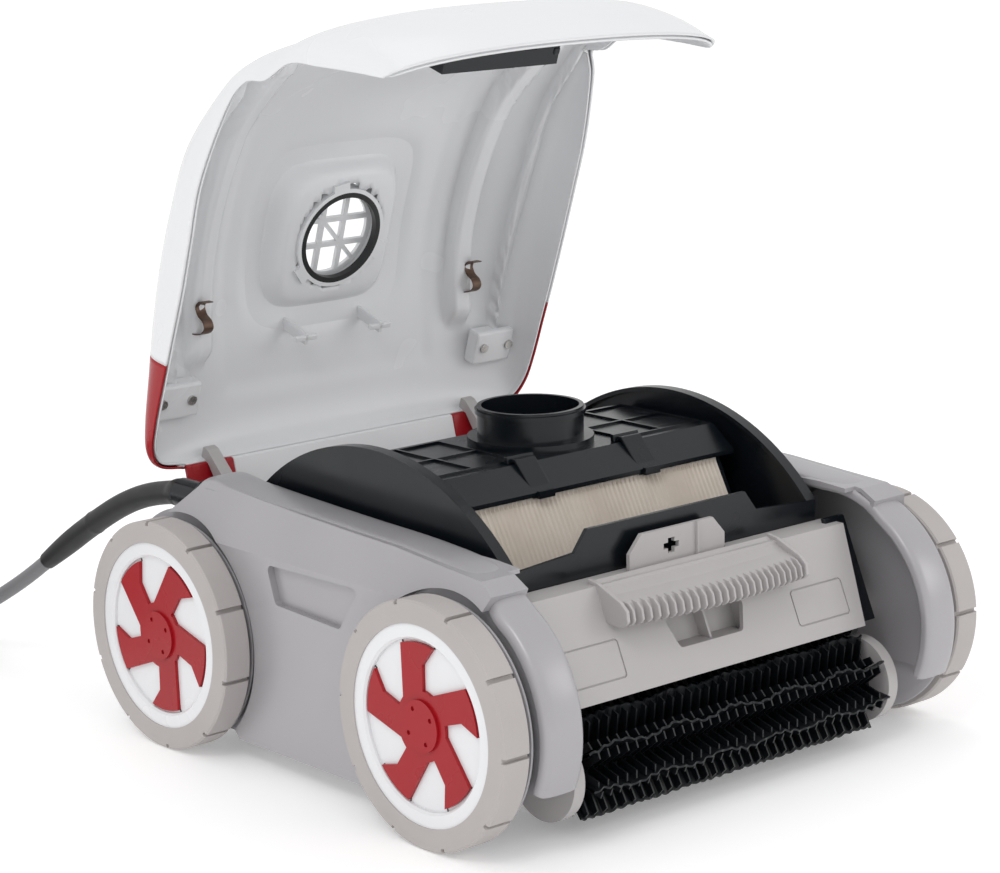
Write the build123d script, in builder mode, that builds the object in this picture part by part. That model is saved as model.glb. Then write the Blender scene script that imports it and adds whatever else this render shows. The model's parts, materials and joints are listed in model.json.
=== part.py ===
# Robotic pool cleaner with its hood raised, for filter access.
# Frame: +Z up, +Y towards the hinge and the cable, -Y towards the brush and the carrying handle,
# +X across the machine.  The origin is on the floor, midway between the four wheels.  Millimetres.
import os
from math import cos, radians, sin, sqrt, tan

from build123d import *

os.makedirs("parts", exist_ok=True)

# ---- wheels ----
wheel_radius = 80.0
wheelbase = 282.0
track_width = 438.6          # over the outer tyre faces
tyre_width = 21.0
tyre_depth = 15.0            # tread to rim, radially
tread_slots = 10
tread_slot_turn = {"front": 33.0, "rear": 23.0}
tread_slot_width = 3.2
tread_slot_depth = 3.0
rim_width = 28.0             # outer face to inner flange
rim_lip = 10.0               # raised band around the wheel disc, radially
rim_disc_drop = 3.5
rim_disc_thickness = 4.0
rim_wall = 3.0
rim_flange_radius = 66.0
star_radius = 53.0
star_thickness = 2.6
star_blades = 5
star_turn = {"front": 180.0, "rear": 0.0}
hub_cap_radius = 17.0
hub_cap_height = 1.8
axle_radius = 8.0
axle_running_gap = 0.05
bush_wall = 4.0
bush_length = 10.0

# ---- body ----
ground_clearance = 15.0
housing_inner_x = 150.0
housing_outer_x = 197.0
housing_wall = 3.0
housing_ridge_x = 180.0
housing_crease_z = 150.0
fender_radius = 84.0
fender_face_x = 187.5
fender_bottom_z = 45.0
fender_inner_x = 160.0
ridge_rear = (130.0, 186.0)
chamfer_foot = (164.0, 157.0)
ridge_front = (-178.0, 164.0)
side_recess_depth = 5.0
body_half_width = 147.0
tray_front_y = -134.0
tray_rear_y = 150.0
tray_height = 55.0
tray_wall = 3.0
intake_length = 160.0
intake_width = 28.0
intake_offset = 78.0
flap_thickness = 2.0
flap_overlap = 3.0
flap_pin_radius = 3.0
basin_radius = 182.0
basin_centre = (-3.0, 40.0)
basin_half_width = 143.0
basin_wall = 3.0
basin_front_y = -138.0
basin_rear_y = 135.0
basin_rim = 6.0
front_wall_low_z = 165.0
front_wall_high_z = 179.0
panel_top = (-158.0, 147.0)
panel_foot = (-187.0, 81.0)
panel_top_half = 150.0
panel_foot_half = 141.0
panel_wall = 3.0
tab_half_width = 44.0
tab_top_z = 170.0
handle_half_width = 84.0
handle_ribs = 24

# ---- brush ----
brush_axis = (-178.0, 41.0)
brush_radius = 36.0
brush_core_radius = 13.0
brush_half_length = 138.0
brush_rows = 8
brush_fin_thickness = 1.8
brush_shaft_radius = 5.0
bracket_radius = 30.0
bracket_thickness = 9.0
bracket_gap = 4.0

# ---- filter cassette ----
cassette_y = -3.0
lid_z = 205.0
lid_thickness = 3.0
lid_half_width = 131.0
lid_half_depth = 48.0
skirt_z = 186.0
skirt_half_depth = 66.0
cartridge_half_width = 117.0
cartridge_foot_z = 92.0
cartridge_lean = 0.53        # sideways travel of the pleated face for each unit of drop
cartridge_thickness = 22.0
collar_radius = 37.0
collar_wall = 3.0
collar_top_z = 231.0

# ---- pump ----
motor_half = (58.0, 34.0)
motor_top_z = 118.0
pump_shaft_radius = 5.0
impeller_radius = 30.0
impeller_hub_radius = 9.0
impeller_z = 196.0
impeller_height = 14.0
impeller_blades = 4

# ---- hood ----
hinge = (164.0, 137.0)
hood_open_angle = 72.0
hood_wall = 3.0
hood_half_width = 181.0
hood_crown_z = 254.0
hood_shoulder_z = 213.0
hood_edge_gap = 1.5
hinge_pin_radius = 3.5
hinge_arm_x = 122.0
hinge_arm_width = 10.0
ear_width = 5.0
ear_gap = 0.5
outlet_y = -4.0
outlet_boss_half = 47.0
outlet_boss_z = 236.0
outlet_ring_radius = 39.0
outlet_bore_radius = 32.0
outlet_ring_z = 232.4
latch_half_width = 52.0
latch_z = 108.0
screw_places = (138.0, 163.0)
screw_y = 93.0
screw_boss_z = 203.0
screw_boss_radius = 6.0
screw_head_radius = 3.6
screw_head_height = 1.8
screw_shank_radius = 2.0
screw_thread_gap = 0.02
screw_length = 9.0

# ---- cable ----
cable_radius = 5.5
sleeve_radius = 8.5
gland_x = -166.0
coil_centre = (-317.0, 522.0)
coil_radius = 99.0
coil_layers = 5
tie_thickness = 1.5

# ---- derived ----
wheel_face_x = track_width / 2
axle_z = wheel_radius
axle_front_y = -wheelbase / 2
axle_rear_y = wheelbase / 2
rim_outer_radius = wheel_radius - tyre_depth
ends = {"front": axle_front_y, "rear": axle_rear_y}
sides = {"left": -1, "right": 1}
wheel_clear_radius = wheel_radius + 2.0
hinge_axis = Axis((0, hinge[0], hinge[1]), (1, 0, 0))


def side_plane(x):
    """Plane facing +X, with its own x along +Y and its own y along +Z."""
    return Plane(origin=(x, 0, 0), x_dir=(0, 1, 0), z_dir=(1, 0, 0))


def front_plane(y):
    """Plane facing -Y, with its own x along +X and its own y along +Z."""
    return Plane(origin=(0, y, 0), x_dir=(1, 0, 0), z_dir=(0, -1, 0))


def flat_plane(z):
    """Plane facing +Z."""
    return Plane(origin=(0, 0, z))


def cross_slab(points, x_low, x_high):
    """A closed (y, z) outline carried across the machine from x_low to x_high."""
    with BuildPart() as slab:
        with BuildSketch(side_plane(x_low)):
            with BuildLine():
                Polyline(*points, close=True)
            make_face()
        extrude(amount=x_high - x_low)
    return slab.part


def block(low, high):
    """A box between two corners."""
    size = [b - a for a, b in zip(low, high)]
    with BuildPart() as box:
        with Locations(((low[0] + high[0]) / 2, (low[1] + high[1]) / 2, (low[2] + high[2]) / 2)):
            Box(*size)
    return box.part


def disc(x_low, x_high, y, z, radius):
    """A cylinder along X."""
    with BuildPart() as cylinder:
        with BuildSketch(side_plane(x_low)):
            with Locations((y, z)):
                Circle(radius)
        extrude(amount=x_high - x_low)
    return cylinder.part


# ================= wheels =================
def wheel_plane(side, y, depth=0.0):
    """Plane on a wheel's outer face, sunk by depth, facing away from the machine."""
    return Plane(
        origin=(side * (wheel_face_x - depth), y, axle_z), x_dir=(0, 1, 0), z_dir=(side, 0, 0)
    )


def blade_outline():
    """One pinwheel blade, (across, outwards), with its swept point at the tip."""
    stem_left = -17.0
    stem_right = 2.0
    tip_left = -sqrt(star_radius**2 - 50.0**2) - 1.0
    shoulder = 39.5
    point = (12.0, sqrt(star_radius**2 - 12.0**2))
    return stem_left, stem_right, tip_left, shoulder, point


for side_name, side in sides.items():
    for end_name, axle_y in ends.items():
        corner = f"{side_name}_{end_name}"

        with BuildPart() as tyre:
            with BuildSketch(wheel_plane(side, axle_y)):
                Circle(wheel_radius)
                Circle(rim_outer_radius, mode=Mode.SUBTRACT)
            extrude(amount=-tyre_width)
            tread_edges = tyre.edges().filter_by(GeomType.CIRCLE).filter_by(
                lambda e: e.radius > wheel_radius - 0.1
            )
            chamfer(tread_edges, 1.2)
            with BuildSketch(wheel_plane(side, axle_y)):
                slot_turn = tread_slot_turn[end_name]
                with PolarLocations(wheel_radius, tread_slots, start_angle=slot_turn):
                    Rectangle(2 * tread_slot_depth, tread_slot_width)
            extrude(amount=-tyre_width, mode=Mode.SUBTRACT)
        tyre.part.label = f"{corner}_tyre"
        export_step(tyre.part, f"parts/{corner}_tyre.step")

        # wheel rim: band, recessed disc, drum and inner flange
        with BuildPart() as rim:
            with BuildSketch(wheel_plane(side, axle_y, 1.0)):
                Circle(rim_outer_radius)
            extrude(amount=-(rim_width - 1.0))
            with BuildSketch(wheel_plane(side, axle_y, 1.0)):
                Circle(rim_outer_radius - rim_lip)
            extrude(amount=-rim_disc_drop, mode=Mode.SUBTRACT)
            rim_bowl = rim_disc_drop + 1.0 + rim_disc_thickness
            with BuildSketch(wheel_plane(side, axle_y, rim_bowl)):
                Circle(rim_outer_radius - rim_wall)
                Circle(hub_cap_radius, mode=Mode.SUBTRACT)
            extrude(amount=-(rim_width - rim_bowl), mode=Mode.SUBTRACT)
            with BuildSketch(wheel_plane(side, axle_y, rim_width - 2.5)):
                Circle(rim_flange_radius)
                Circle(rim_outer_radius - rim_wall, mode=Mode.SUBTRACT)
            extrude(amount=-2.5)
            with BuildSketch(wheel_plane(side, axle_y, rim_bowl)):
                Circle(axle_radius)
            extrude(amount=-rim_width, mode=Mode.SUBTRACT)
            band_edges = rim.edges().filter_by(GeomType.CIRCLE).filter_by(
                lambda e: abs(e.radius - rim_outer_radius + rim_lip) < 0.1
            )
            chamfer(band_edges.sort_by(Axis.X)[-1 if side > 0 else 0], 1.5)
        rim.part.label = f"{corner}_rim"
        export_step(rim.part, f"parts/{corner}_rim.step")

        star_depth = 1.0 + rim_disc_drop
        stem_left, stem_right, tip_left, shoulder, point = blade_outline()
        with BuildPart() as star:
            with BuildSketch(wheel_plane(side, axle_y, star_depth)):
                Circle(hub_cap_radius + 6.0)
                blade_turns = [star_turn[end_name] + i * 360.0 / star_blades for i in range(star_blades)]
                for turn in blade_turns:
                    with BuildLine(Plane.XY.rotated((0, 0, turn))):
                        Polyline(
                            (stem_right, 10.0),
                            (stem_right, shoulder),
                            point,
                        )
                        RadiusArc(point, (tip_left, 50.0), -star_radius)
                        Polyline((tip_left, 50.0), (stem_left, 12.0), (stem_right, 10.0))
                    make_face()
            extrude(amount=star_thickness)
            with BuildSketch(wheel_plane(side, axle_y, star_depth - star_thickness)):
                Circle(hub_cap_radius)
            extrude(amount=hub_cap_height)
            with BuildSketch(wheel_plane(side, axle_y, star_depth - star_thickness - hub_cap_height)):
                with PolarLocations(12.0, 4, start_angle=30):
                    Circle(1.6)
            extrude(amount=-1.2, mode=Mode.SUBTRACT)
        star.part.label = f"{corner}_wheel_star"
        export_step(star.part, f"parts/{corner}_wheel_star.step")

        # stub axle with its toothed-belt pulley
        pulley_radius = 22.0
        pulley_width = 9.0
        pulley_x = housing_inner_x + 2.0
        with BuildPart() as axle:
            axle_tip = rim_bowl
            axle_length = wheel_face_x - axle_tip - pulley_x
            with BuildSketch(wheel_plane(side, axle_y, axle_tip)):
                Circle(axle_radius)
            extrude(amount=-axle_length)
            with BuildSketch(wheel_plane(side, axle_y, axle_tip + axle_length - pulley_width)):
                Circle(pulley_radius)
            extrude(amount=-pulley_width)
        axle.part.label = f"{corner}_axle"
        export_step(axle.part, f"parts/{corner}_axle.step")

with BuildPart() as axle_bushes:
    for side in sides.values():
        for axle_y in ends.values():
            with BuildSketch(wheel_plane(side, axle_y, wheel_face_x - fender_face_x)):
                Circle(axle_radius + bush_wall)
                Circle(axle_radius + axle_running_gap, mode=Mode.SUBTRACT)
            extrude(amount=-bush_length)
axle_bushes.part.label = "axle_bushes"
export_step(axle_bushes.part, "parts/axle_bushes.step")

belt_thickness = 2.5
belt_gap = 0.3
with BuildPart() as drive_belts:
    for side in sides.values():
        belt_plane = Plane(
            origin=(side * (pulley_x + 1.0), 0, axle_z), x_dir=(0, 1, 0), z_dir=(side, 0, 0)
        )
        with BuildSketch(belt_plane):
            SlotCenterToCenter(wheelbase, 2 * (pulley_radius + belt_gap + belt_thickness))
            SlotCenterToCenter(wheelbase, 2 * (pulley_radius + belt_gap), mode=Mode.SUBTRACT)
        extrude(amount=pulley_width - 2.0)
drive_belts.part.label = "drive_belts"
export_step(drive_belts.part, "parts/drive_belts.step")

# ================= side housings =================
housing_ridge = [
    ridge_front,
    (-165.0, 171.0),
    (-127.0, 173.5),
    (-79.0, 177.0),
    (-28.0, 178.5),
    (25.0, 180.5),
    (69.0, 182.5),
    ridge_rear,
]
housing_outline = housing_ridge + [
    chamfer_foot,
    (152.0, 100.0),
    (80.0, ground_clearance),
    (-56.0, ground_clearance),
    (-150.0, 100.0),
]
recess_outline = [(42.0, 145.0), (-57.0, 147.0), (-35.0, 116.0), (33.0, 119.0)]


def housing_block(inset, x_low, x_high, drum_radius, drum_x):
    """Closed side body: centre block, two wheel drums, leaning crown; shrunk by inset."""
    crown_drop = inset * 1.3
    with BuildPart() as body:
        with BuildSketch(side_plane(x_low)):
            with BuildLine():
                Polyline(*housing_outline, close=True)
            make_face()
            if inset:
                offset(amount=-inset, kind=Kind.INTERSECTION, mode=Mode.REPLACE)
        extrude(amount=x_high - x_low)
        for axle_y in ends.values():
            add(disc(drum_x, x_high + 1.0, axle_y, axle_z, wheel_clear_radius + inset), mode=Mode.SUBTRACT)
        for axle_y in ends.values():
            add(disc(x_low, drum_x, axle_y, axle_z, drum_radius))
        # lean of the outer face above the crease, and of the inner face behind the ridge
        with BuildSketch(front_plane(-300)):
            with BuildLine():
                Polyline(
                    (housing_outer_x - inset, housing_crease_z - crown_drop),
                    (housing_ridge_x - inset, 186.0 - crown_drop),
                    (housing_ridge_x - inset, 260.0),
                    (housing_outer_x + 40.0, 260.0),
                    (housing_outer_x + 40.0, housing_crease_z - crown_drop),
                    close=True,
                )
            make_face()
            with BuildLine():
                Polyline(
                    (housing_ridge_x - inset, 186.0 - crown_drop),
                    (housing_inner_x - 2.0, 172.0 - crown_drop),
                    (housing_inner_x - 2.0, 260.0),
                    (housing_ridge_x - inset, 260.0),
                    close=True,
                )
            make_face()
        extrude(amount=-600, mode=Mode.SUBTRACT)
    return body.part


hollow_recess_x = housing_outer_x - side_recess_depth - housing_wall
with BuildPart() as housing_hollow:
    add(
        housing_block(
            housing_wall,
            housing_inner_x - 1.0,
            housing_outer_x - housing_wall,
            fender_radius - housing_wall,
            fender_face_x - housing_wall,
        )
    )
    with BuildSketch(side_plane(hollow_recess_x)):
        with BuildLine():
            Polyline(*recess_outline, close=True)
        make_face()
        offset(amount=housing_wall, kind=Kind.INTERSECTION)
    extrude(amount=housing_wall * 4, mode=Mode.SUBTRACT)

with BuildPart() as right_side_housing:
    add(housing_block(0.0, housing_inner_x, housing_outer_x, fender_radius, fender_face_x))
    with BuildSketch(side_plane(housing_outer_x)) as recess:
        with BuildLine():
            Polyline(*recess_outline, close=True)
        make_face()
        fillet(recess.vertices(), 4.0)
    extrude(amount=-side_recess_depth, mode=Mode.SUBTRACT)
    add(housing_hollow.part, mode=Mode.SUBTRACT)
    # the drums end above the floor and stay open below
    for axle_y in ends.values():
        drum_low = min(axle_y, axle_y * 2)
        drum_high = max(axle_y, axle_y * 2)
        add(
            block((housing_inner_x - 2, drum_low, -10), (fender_face_x + 3, drum_high, fender_bottom_z)),
            mode=Mode.SUBTRACT,
        )
        add(
            disc(housing_inner_x, fender_face_x + 1, axle_y, axle_z, axle_radius + bush_wall),
            mode=Mode.SUBTRACT,
        )
    # nothing hangs below the underside
    add(
        block((housing_inner_x - 2, -260, -10), (housing_outer_x + 1, 260, ground_clearance)),
        mode=Mode.SUBTRACT,
    )
    # ahead of the ridge the drums begin further out, leaving room for the hood's front corners
    add(block((housing_inner_x - 2, -260, -10), (fender_inner_x, -159, 200)), mode=Mode.SUBTRACT)

with BuildPart() as left_side_housing:
    mirror(right_side_housing.part, about=Plane.YZ)
right_side_housing.part.label = "right_side_housing"
left_side_housing.part.label = "left_side_housing"
export_step(right_side_housing.part, "parts/right_side_housing.step")
export_step(left_side_housing.part, "parts/left_side_housing.step")

# ================= underside =================
with BuildPart() as underbody_tray:
    add(
        block(
            (-body_half_width, tray_front_y, ground_clearance),
            (body_half_width, tray_rear_y, tray_height),
        )
    )
    add(
        block(
            (-body_half_width + tray_wall, tray_front_y + tray_wall, ground_clearance + tray_wall),
            (body_half_width - tray_wall, tray_rear_y - tray_wall, tray_height + 1),
        ),
        mode=Mode.SUBTRACT,
    )
    with BuildSketch(flat_plane(ground_clearance)):
        with Locations((0, -intake_offset), (0, intake_offset)):
            Rectangle(intake_length, intake_width)
    extrude(amount=tray_wall, mode=Mode.SUBTRACT)
    # hinge posts of the intake flaps
    flap_z = ground_clearance + tray_wall + flap_pin_radius + 0.4
    flap_half = intake_length / 2 + flap_overlap
    for sign in (-1, 1):
        for post_x in (-flap_half - 3.0, flap_half + 3.0):
            post_y = sign * (intake_offset + intake_width / 2 + flap_pin_radius + 1.0)
            add(
                block(
                    (post_x - 2.5, post_y - 4, ground_clearance + 1),
                    (post_x + 2.5, post_y + 4, flap_z + 4),
                )
            )
            add(
                disc(post_x - 3, post_x + 3, post_y, flap_z, flap_pin_radius - 1.0 + 0.05),
                mode=Mode.SUBTRACT,
            )
underbody_tray.part.label = "underbody_tray"
export_step(underbody_tray.part, "parts/underbody_tray.step")

for flap_name, sign in (("front_intake_flap", -1), ("rear_intake_flap", 1)):
    pin_y = sign * (intake_offset + intake_width / 2 + flap_pin_radius + 1.0)
    plate_end = sign * (intake_offset - intake_width / 2 - flap_overlap)
    plate_low_z = ground_clearance + tray_wall + 0.4
    with BuildPart() as flap:
        add(
            block(
                (-flap_half, min(pin_y, plate_end), plate_low_z),
                (flap_half, max(pin_y, plate_end), plate_low_z + flap_thickness),
            )
        )
        add(disc(-flap_half, flap_half, pin_y, flap_z, flap_pin_radius))
        add(disc(-flap_half - 5, flap_half + 5, pin_y, flap_z, flap_pin_radius - 1.0))
    flap.part.label = flap_name
    export_step(flap.part, f"parts/{flap_name}.step")

# ================= filter basin =================
with BuildPart() as filter_basin:
    arch_x = basin_half_width - basin_wall
    for low_x, high_x in ((arch_x, basin_half_width), (-basin_half_width, -arch_x)):
        add(disc(low_x, high_x, *basin_centre, basin_radius))
    rim_low = basin_half_width - basin_wall - basin_rim
    for low_x, high_x in ((rim_low, arch_x + 0.5), (-arch_x - 0.5, -rim_low)):
        add(disc(low_x, high_x, *basin_centre, basin_radius))
        add(disc(low_x - 1, high_x + 1, *basin_centre, basin_radius - basin_wall), mode=Mode.SUBTRACT)
    for low_x, high_x in ((arch_x, basin_half_width), (-basin_half_width, -arch_x)):
        add(disc(low_x, high_x, *basin_centre, basin_radius))
    add(block((-200, basin_rear_y, -200), (200, 300, 300)), mode=Mode.SUBTRACT)
    add(block((-200, -300, -200), (200, basin_front_y, 300)), mode=Mode.SUBTRACT)
    add(block((-200, -300, -200), (200, 300, tray_height)), mode=Mode.SUBTRACT)
    with BuildSketch(front_plane(basin_front_y)):
        with BuildLine():
            Polyline(
                (-arch_x, tray_height),
                (arch_x, tray_height),
                (arch_x, front_wall_low_z - 4.0),
                (84.0, front_wall_low_z),
                (73.0, front_wall_high_z),
                (-73.0, front_wall_high_z),
                (-84.0, front_wall_low_z),
                (-arch_x, front_wall_low_z - 4.0),
                close=True,
            )
        make_face()
    extrude(amount=-basin_wall)
    add(block((-arch_x, basin_rear_y - basin_wall, tray_height), (arch_x, basin_rear_y, 158.0)))
filter_basin.part.label = "filter_basin"
export_step(filter_basin.part, "parts/filter_basin.step")

# ================= front panel and handle =================
panel_slope = (panel_foot[0] - panel_top[0]) / (panel_foot[1] - panel_top[1])


def panel_face_y(z):
    """y of the front panel's outer face at height z."""
    return panel_top[0] + panel_slope * (z - panel_top[1])


ledge_y = basin_front_y - 0.5
with BuildPart() as front_panel:
    with BuildSketch(side_plane(-panel_top_half)):
        with BuildLine():
            Polyline(
                (ledge_y, panel_top[1]),
                panel_top,
                panel_foot,
                (panel_foot[0] + panel_wall, panel_foot[1]),
                (panel_top[0] + panel_wall - 0.5, panel_top[1] - panel_wall),
                (ledge_y, panel_top[1] - panel_wall),
                close=True,
            )
        make_face()
    extrude(amount=2 * panel_top_half)
    # the ends taper towards the foot
    for sign in (-1, 1):
        with BuildSketch(front_plane(-120)):
            with BuildLine():
                Polyline(
                    (sign * panel_top_half, panel_top[1] + 1),
                    (sign * panel_foot_half, panel_foot[1] - 1),
                    (sign * 200, panel_foot[1] - 1),
                    (sign * 200, panel_top[1] + 1),
                    close=True,
                )
            make_face()
        extrude(amount=100, mode=Mode.SUBTRACT)
    # raised catch tab behind the handle
    tab_y = -147.0
    with BuildSketch(front_plane(tab_y)) as tab:
        with BuildLine():
            Polyline(
                (-tab_half_width, panel_top[1] - 1),
                (-tab_half_width, 158.0),
                (-tab_half_width + 11, tab_top_z),
                (tab_half_width - 11, tab_top_z),
                (tab_half_width, 158.0),
                (tab_half_width, panel_top[1] - 1),
                close=True,
            )
        make_face()
        fillet(tab.vertices().group_by(Axis.Z)[1:], 5.0)
        with Locations((-6.0, 158.0)):
            Rectangle(14, 4, mode=Mode.SUBTRACT)
            Rectangle(6, 10, mode=Mode.SUBTRACT)
    extrude(amount=-3.0)
    add(block((16.5, tab_y - 2.0, panel_top[1] - 1), (18.5, tab_y, tab_top_z)))
    # latch pocket below the handle
    with BuildSketch(front_plane(-140)) as pocket:
        with BuildLine():
            Polyline((-37, 119), (37, 119), (29, 99), (-29, 99), close=True)
        make_face()
        fillet(pocket.vertices(), 4.0)
    extrude(amount=80, mode=Mode.SUBTRACT)
    # two shallow pressed rectangles
    panel_normal = Plane(
        origin=(0, panel_face_y(103.0), 103.0), x_dir=(1, 0, 0), z_dir=(0, -1, panel_slope)
    )
    with BuildSketch(panel_normal):
        with Locations((-105.5, 0), (105.5, 0)):
            RectangleRounded(51, 26, 3)
        with Locations((-105.5, 0), (105.5, 0)):
            RectangleRounded(48.6, 23.6, 2, mode=Mode.SUBTRACT)
    extrude(amount=-0.9, mode=Mode.SUBTRACT)
front_panel.part.label = "front_panel"
export_step(front_panel.part, "parts/front_panel.step")

grip_half = handle_half_width - 4.0
with BuildPart() as carry_handle:
    add(
        cross_slab(
            [
                (-151.0, 147.0),
                (-151.0, 150.0),
                (-177.0, 139.5),
                (-184.5, 134.0),
                (-185.0, 127.0),
                (-181.0, 121.0),
                (-176.5, 121.0),
                (-177.5, 130.0),
                (-170.0, 137.0),
                (-158.0, 142.0 + 5.0),
            ],
            -grip_half,
            grip_half,
        )
    )
    rib_pitch = 2 * (grip_half - 4.0) / handle_ribs
    for i in range(handle_ribs):
        groove_x = -grip_half + 4.0 + rib_pitch * (i + 0.5)
        add(
            block((groove_x - rib_pitch * 0.3, -190, 119), (groove_x + rib_pitch * 0.3, -180.6, 135)),
            mode=Mode.SUBTRACT,
        )
    for low_x, high_x in ((grip_half, handle_half_width), (-handle_half_width, -grip_half)):
        add(
            cross_slab(
                [
                    (panel_face_y(147.0), 147.0),
                    (-160.0, 148.0),
                    (-177.0, 139.5),
                    (-184.0, 134.0),
                    (-184.5, 127.0),
                    (-181.0, 121.0),
                    (panel_face_y(121.0), 121.0),
                ],
                low_x,
                high_x,
            )
        )
carry_handle.part.label = "carry_handle"
export_step(carry_handle.part, "parts/carry_handle.step")

# ================= rear panel and hinge ears =================
ear_radius = 8.0
with BuildPart() as rear_panel:
    add(
        cross_slab(
            [
                (basin_rear_y + 15.5, ground_clearance),
                (168.0, 30.0),
                (168.0, 112.0),
                (140.0, 150.0),
                (basin_rear_y + 0.5, 150.0),
                (basin_rear_y + 0.5, 146.0),
                (139.0, 146.0),
                (165.0, 111.0),
                (165.0, 32.0),
                (basin_rear_y + 15.5, 20.0),
            ],
            -body_half_width,
            body_half_width,
        )
    )
    for sign in (-1, 1):
        for offset_x in (
            hinge_arm_x - hinge_arm_width / 2 - ear_gap - ear_width,
            hinge_arm_x + hinge_arm_width / 2 + ear_gap,
        ):
            low_x, high_x = sorted((sign * offset_x, sign * (offset_x + ear_width)))
            add(disc(low_x, high_x, *hinge, ear_radius))
            add(
                cross_slab(
                    [(164.0, 115.5), (151.5, 132.5), (157.5, 141.5), (171.5, 134.0)], low_x, high_x
                )
            )
            add(disc(low_x - 0.1, high_x + 0.1, *hinge, hinge_pin_radius), mode=Mode.SUBTRACT)
rear_panel.part.label = "rear_panel"
export_step(rear_panel.part, "parts/rear_panel.step")

with BuildPart() as hinge_pins:
    pin_half = hinge_arm_width / 2 + ear_gap + ear_width + 1.5
    for sign in (-1, 1):
        add(disc(sign * hinge_arm_x - pin_half, sign * hinge_arm_x + pin_half, *hinge, hinge_pin_radius))
hinge_pins.part.label = "hinge_pins"
export_step(hinge_pins.part, "parts/hinge_pins.step")

# ================= brush =================
with BuildPart() as brush_core:
    core_half = brush_half_length + 1.0
    add(disc(-core_half, core_half, *brush_axis, brush_core_radius))
    shaft_half = brush_half_length + bracket_gap + bracket_thickness - 2.0
    add(disc(-shaft_half, shaft_half, *brush_axis, brush_shaft_radius))
brush_core.part.label = "brush_core"
export_step(brush_core.part, "parts/brush_core.step")

brush_sleeve_wall = 2.5
with BuildPart() as brush_fins:
    with BuildSketch(side_plane(-brush_half_length)):
        with Locations(brush_axis):
            Circle(brush_core_radius + brush_sleeve_wall)
            fin_length = brush_radius - brush_core_radius - 1.0
            with PolarLocations(brush_radius - fin_length / 2, brush_rows, start_angle=11):
                Rectangle(fin_length, brush_fin_thickness)
            Circle(brush_core_radius, mode=Mode.SUBTRACT)
    extrude(amount=2 * brush_half_length)
brush_fins.part.label = "brush_fins"
export_step(brush_fins.part, "parts/brush_fins.step")

bracket_x = brush_half_length + bracket_gap
for side_name, side in sides.items():
    low_x, high_x = sorted((side * bracket_x, side * (bracket_x + bracket_thickness)))
    with BuildPart() as bracket:
        add(disc(low_x, high_x, *brush_axis, bracket_radius))
        add(
            cross_slab(
                [
                    (brush_axis[0], brush_axis[1] - bracket_radius + 8),
                    (tray_front_y, ground_clearance + 3),
                    (tray_front_y, tray_height - 6.0),
                    (brush_axis[0], brush_axis[1] + bracket_radius - 2),
                ],
                low_x,
                high_x,
            )
        )
        add(
            disc(low_x - 1, high_x + 1, *brush_axis, brush_shaft_radius + axle_running_gap),
            mode=Mode.SUBTRACT,
        )
    bracket.part.label = f"{side_name}_brush_bracket"
    export_step(bracket.part, f"parts/{side_name}_brush_bracket.step")

# ================= pump =================
with BuildPart() as motor_housing:
    add(
        block(
            (-motor_half[0], cassette_y - motor_half[1], ground_clearance + tray_wall),
            (motor_half[0], cassette_y + motor_half[1], motor_top_z),
        )
    )
    fillet(motor_housing.edges().filter_by(Axis.Z), 8.0)
    fillet(motor_housing.faces().sort_by(Axis.Z)[-1].edges(), 4.0)
    with BuildSketch(flat_plane(motor_top_z)):
        with Locations((0, cassette_y)):
            Circle(16.0)
    extrude(amount=40.0, taper=6)
    with BuildSketch(flat_plane(motor_top_z + 40.0)):
        with Locations((0, cassette_y)):
            Circle(pump_shaft_radius + axle_running_gap)
    extrude(amount=-60.0, mode=Mode.SUBTRACT)
motor_housing.part.label = "motor_housing"
export_step(motor_housing.part, "parts/motor_housing.step")

with BuildPart() as pump_shaft:
    with BuildSketch(flat_plane(motor_top_z - 15.0)):
        with Locations((0, cassette_y)):
            Circle(pump_shaft_radius)
    extrude(amount=impeller_z + impeller_height - 2.0 - (motor_top_z - 15.0))
pump_shaft.part.label = "pump_shaft"
export_step(pump_shaft.part, "parts/pump_shaft.step")

with BuildPart() as impeller:
    with BuildSketch(flat_plane(impeller_z)):
        with Locations((0, cassette_y)):
            Circle(impeller_hub_radius)
    extrude(amount=impeller_height)
    blade_reach = impeller_radius - impeller_hub_radius + 2.0
    for i in range(impeller_blades):
        turn = radians(i * 360.0 / impeller_blades)
        middle = impeller_radius - blade_reach / 2
        blade_frame = Plane(
            origin=(middle * cos(turn), cassette_y + middle * sin(turn), impeller_z + impeller_height / 2),
            x_dir=(cos(turn), sin(turn), 0),
            z_dir=(-sin(turn) * 0.6, cos(turn) * 0.6, 0.8),
        )
        with BuildSketch(blade_frame):
            Rectangle(blade_reach, 12.0)
        extrude(amount=1.0, both=True)
    with BuildSketch(flat_plane(impeller_z - 1.0)):
        with Locations((0, cassette_y)):
            Circle(pump_shaft_radius)
    extrude(amount=impeller_height - 1.0, mode=Mode.SUBTRACT)
impeller.part.label = "impeller"
export_step(impeller.part, "parts/impeller.step")

# ================= filter cassette =================
cartridge_drop = skirt_z - cartridge_foot_z
cartridge_foot_half = skirt_half_depth + cartridge_lean * cartridge_drop


def cassette_point(sign, half_depth, z):
    return (cassette_y + sign * half_depth, z)


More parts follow.
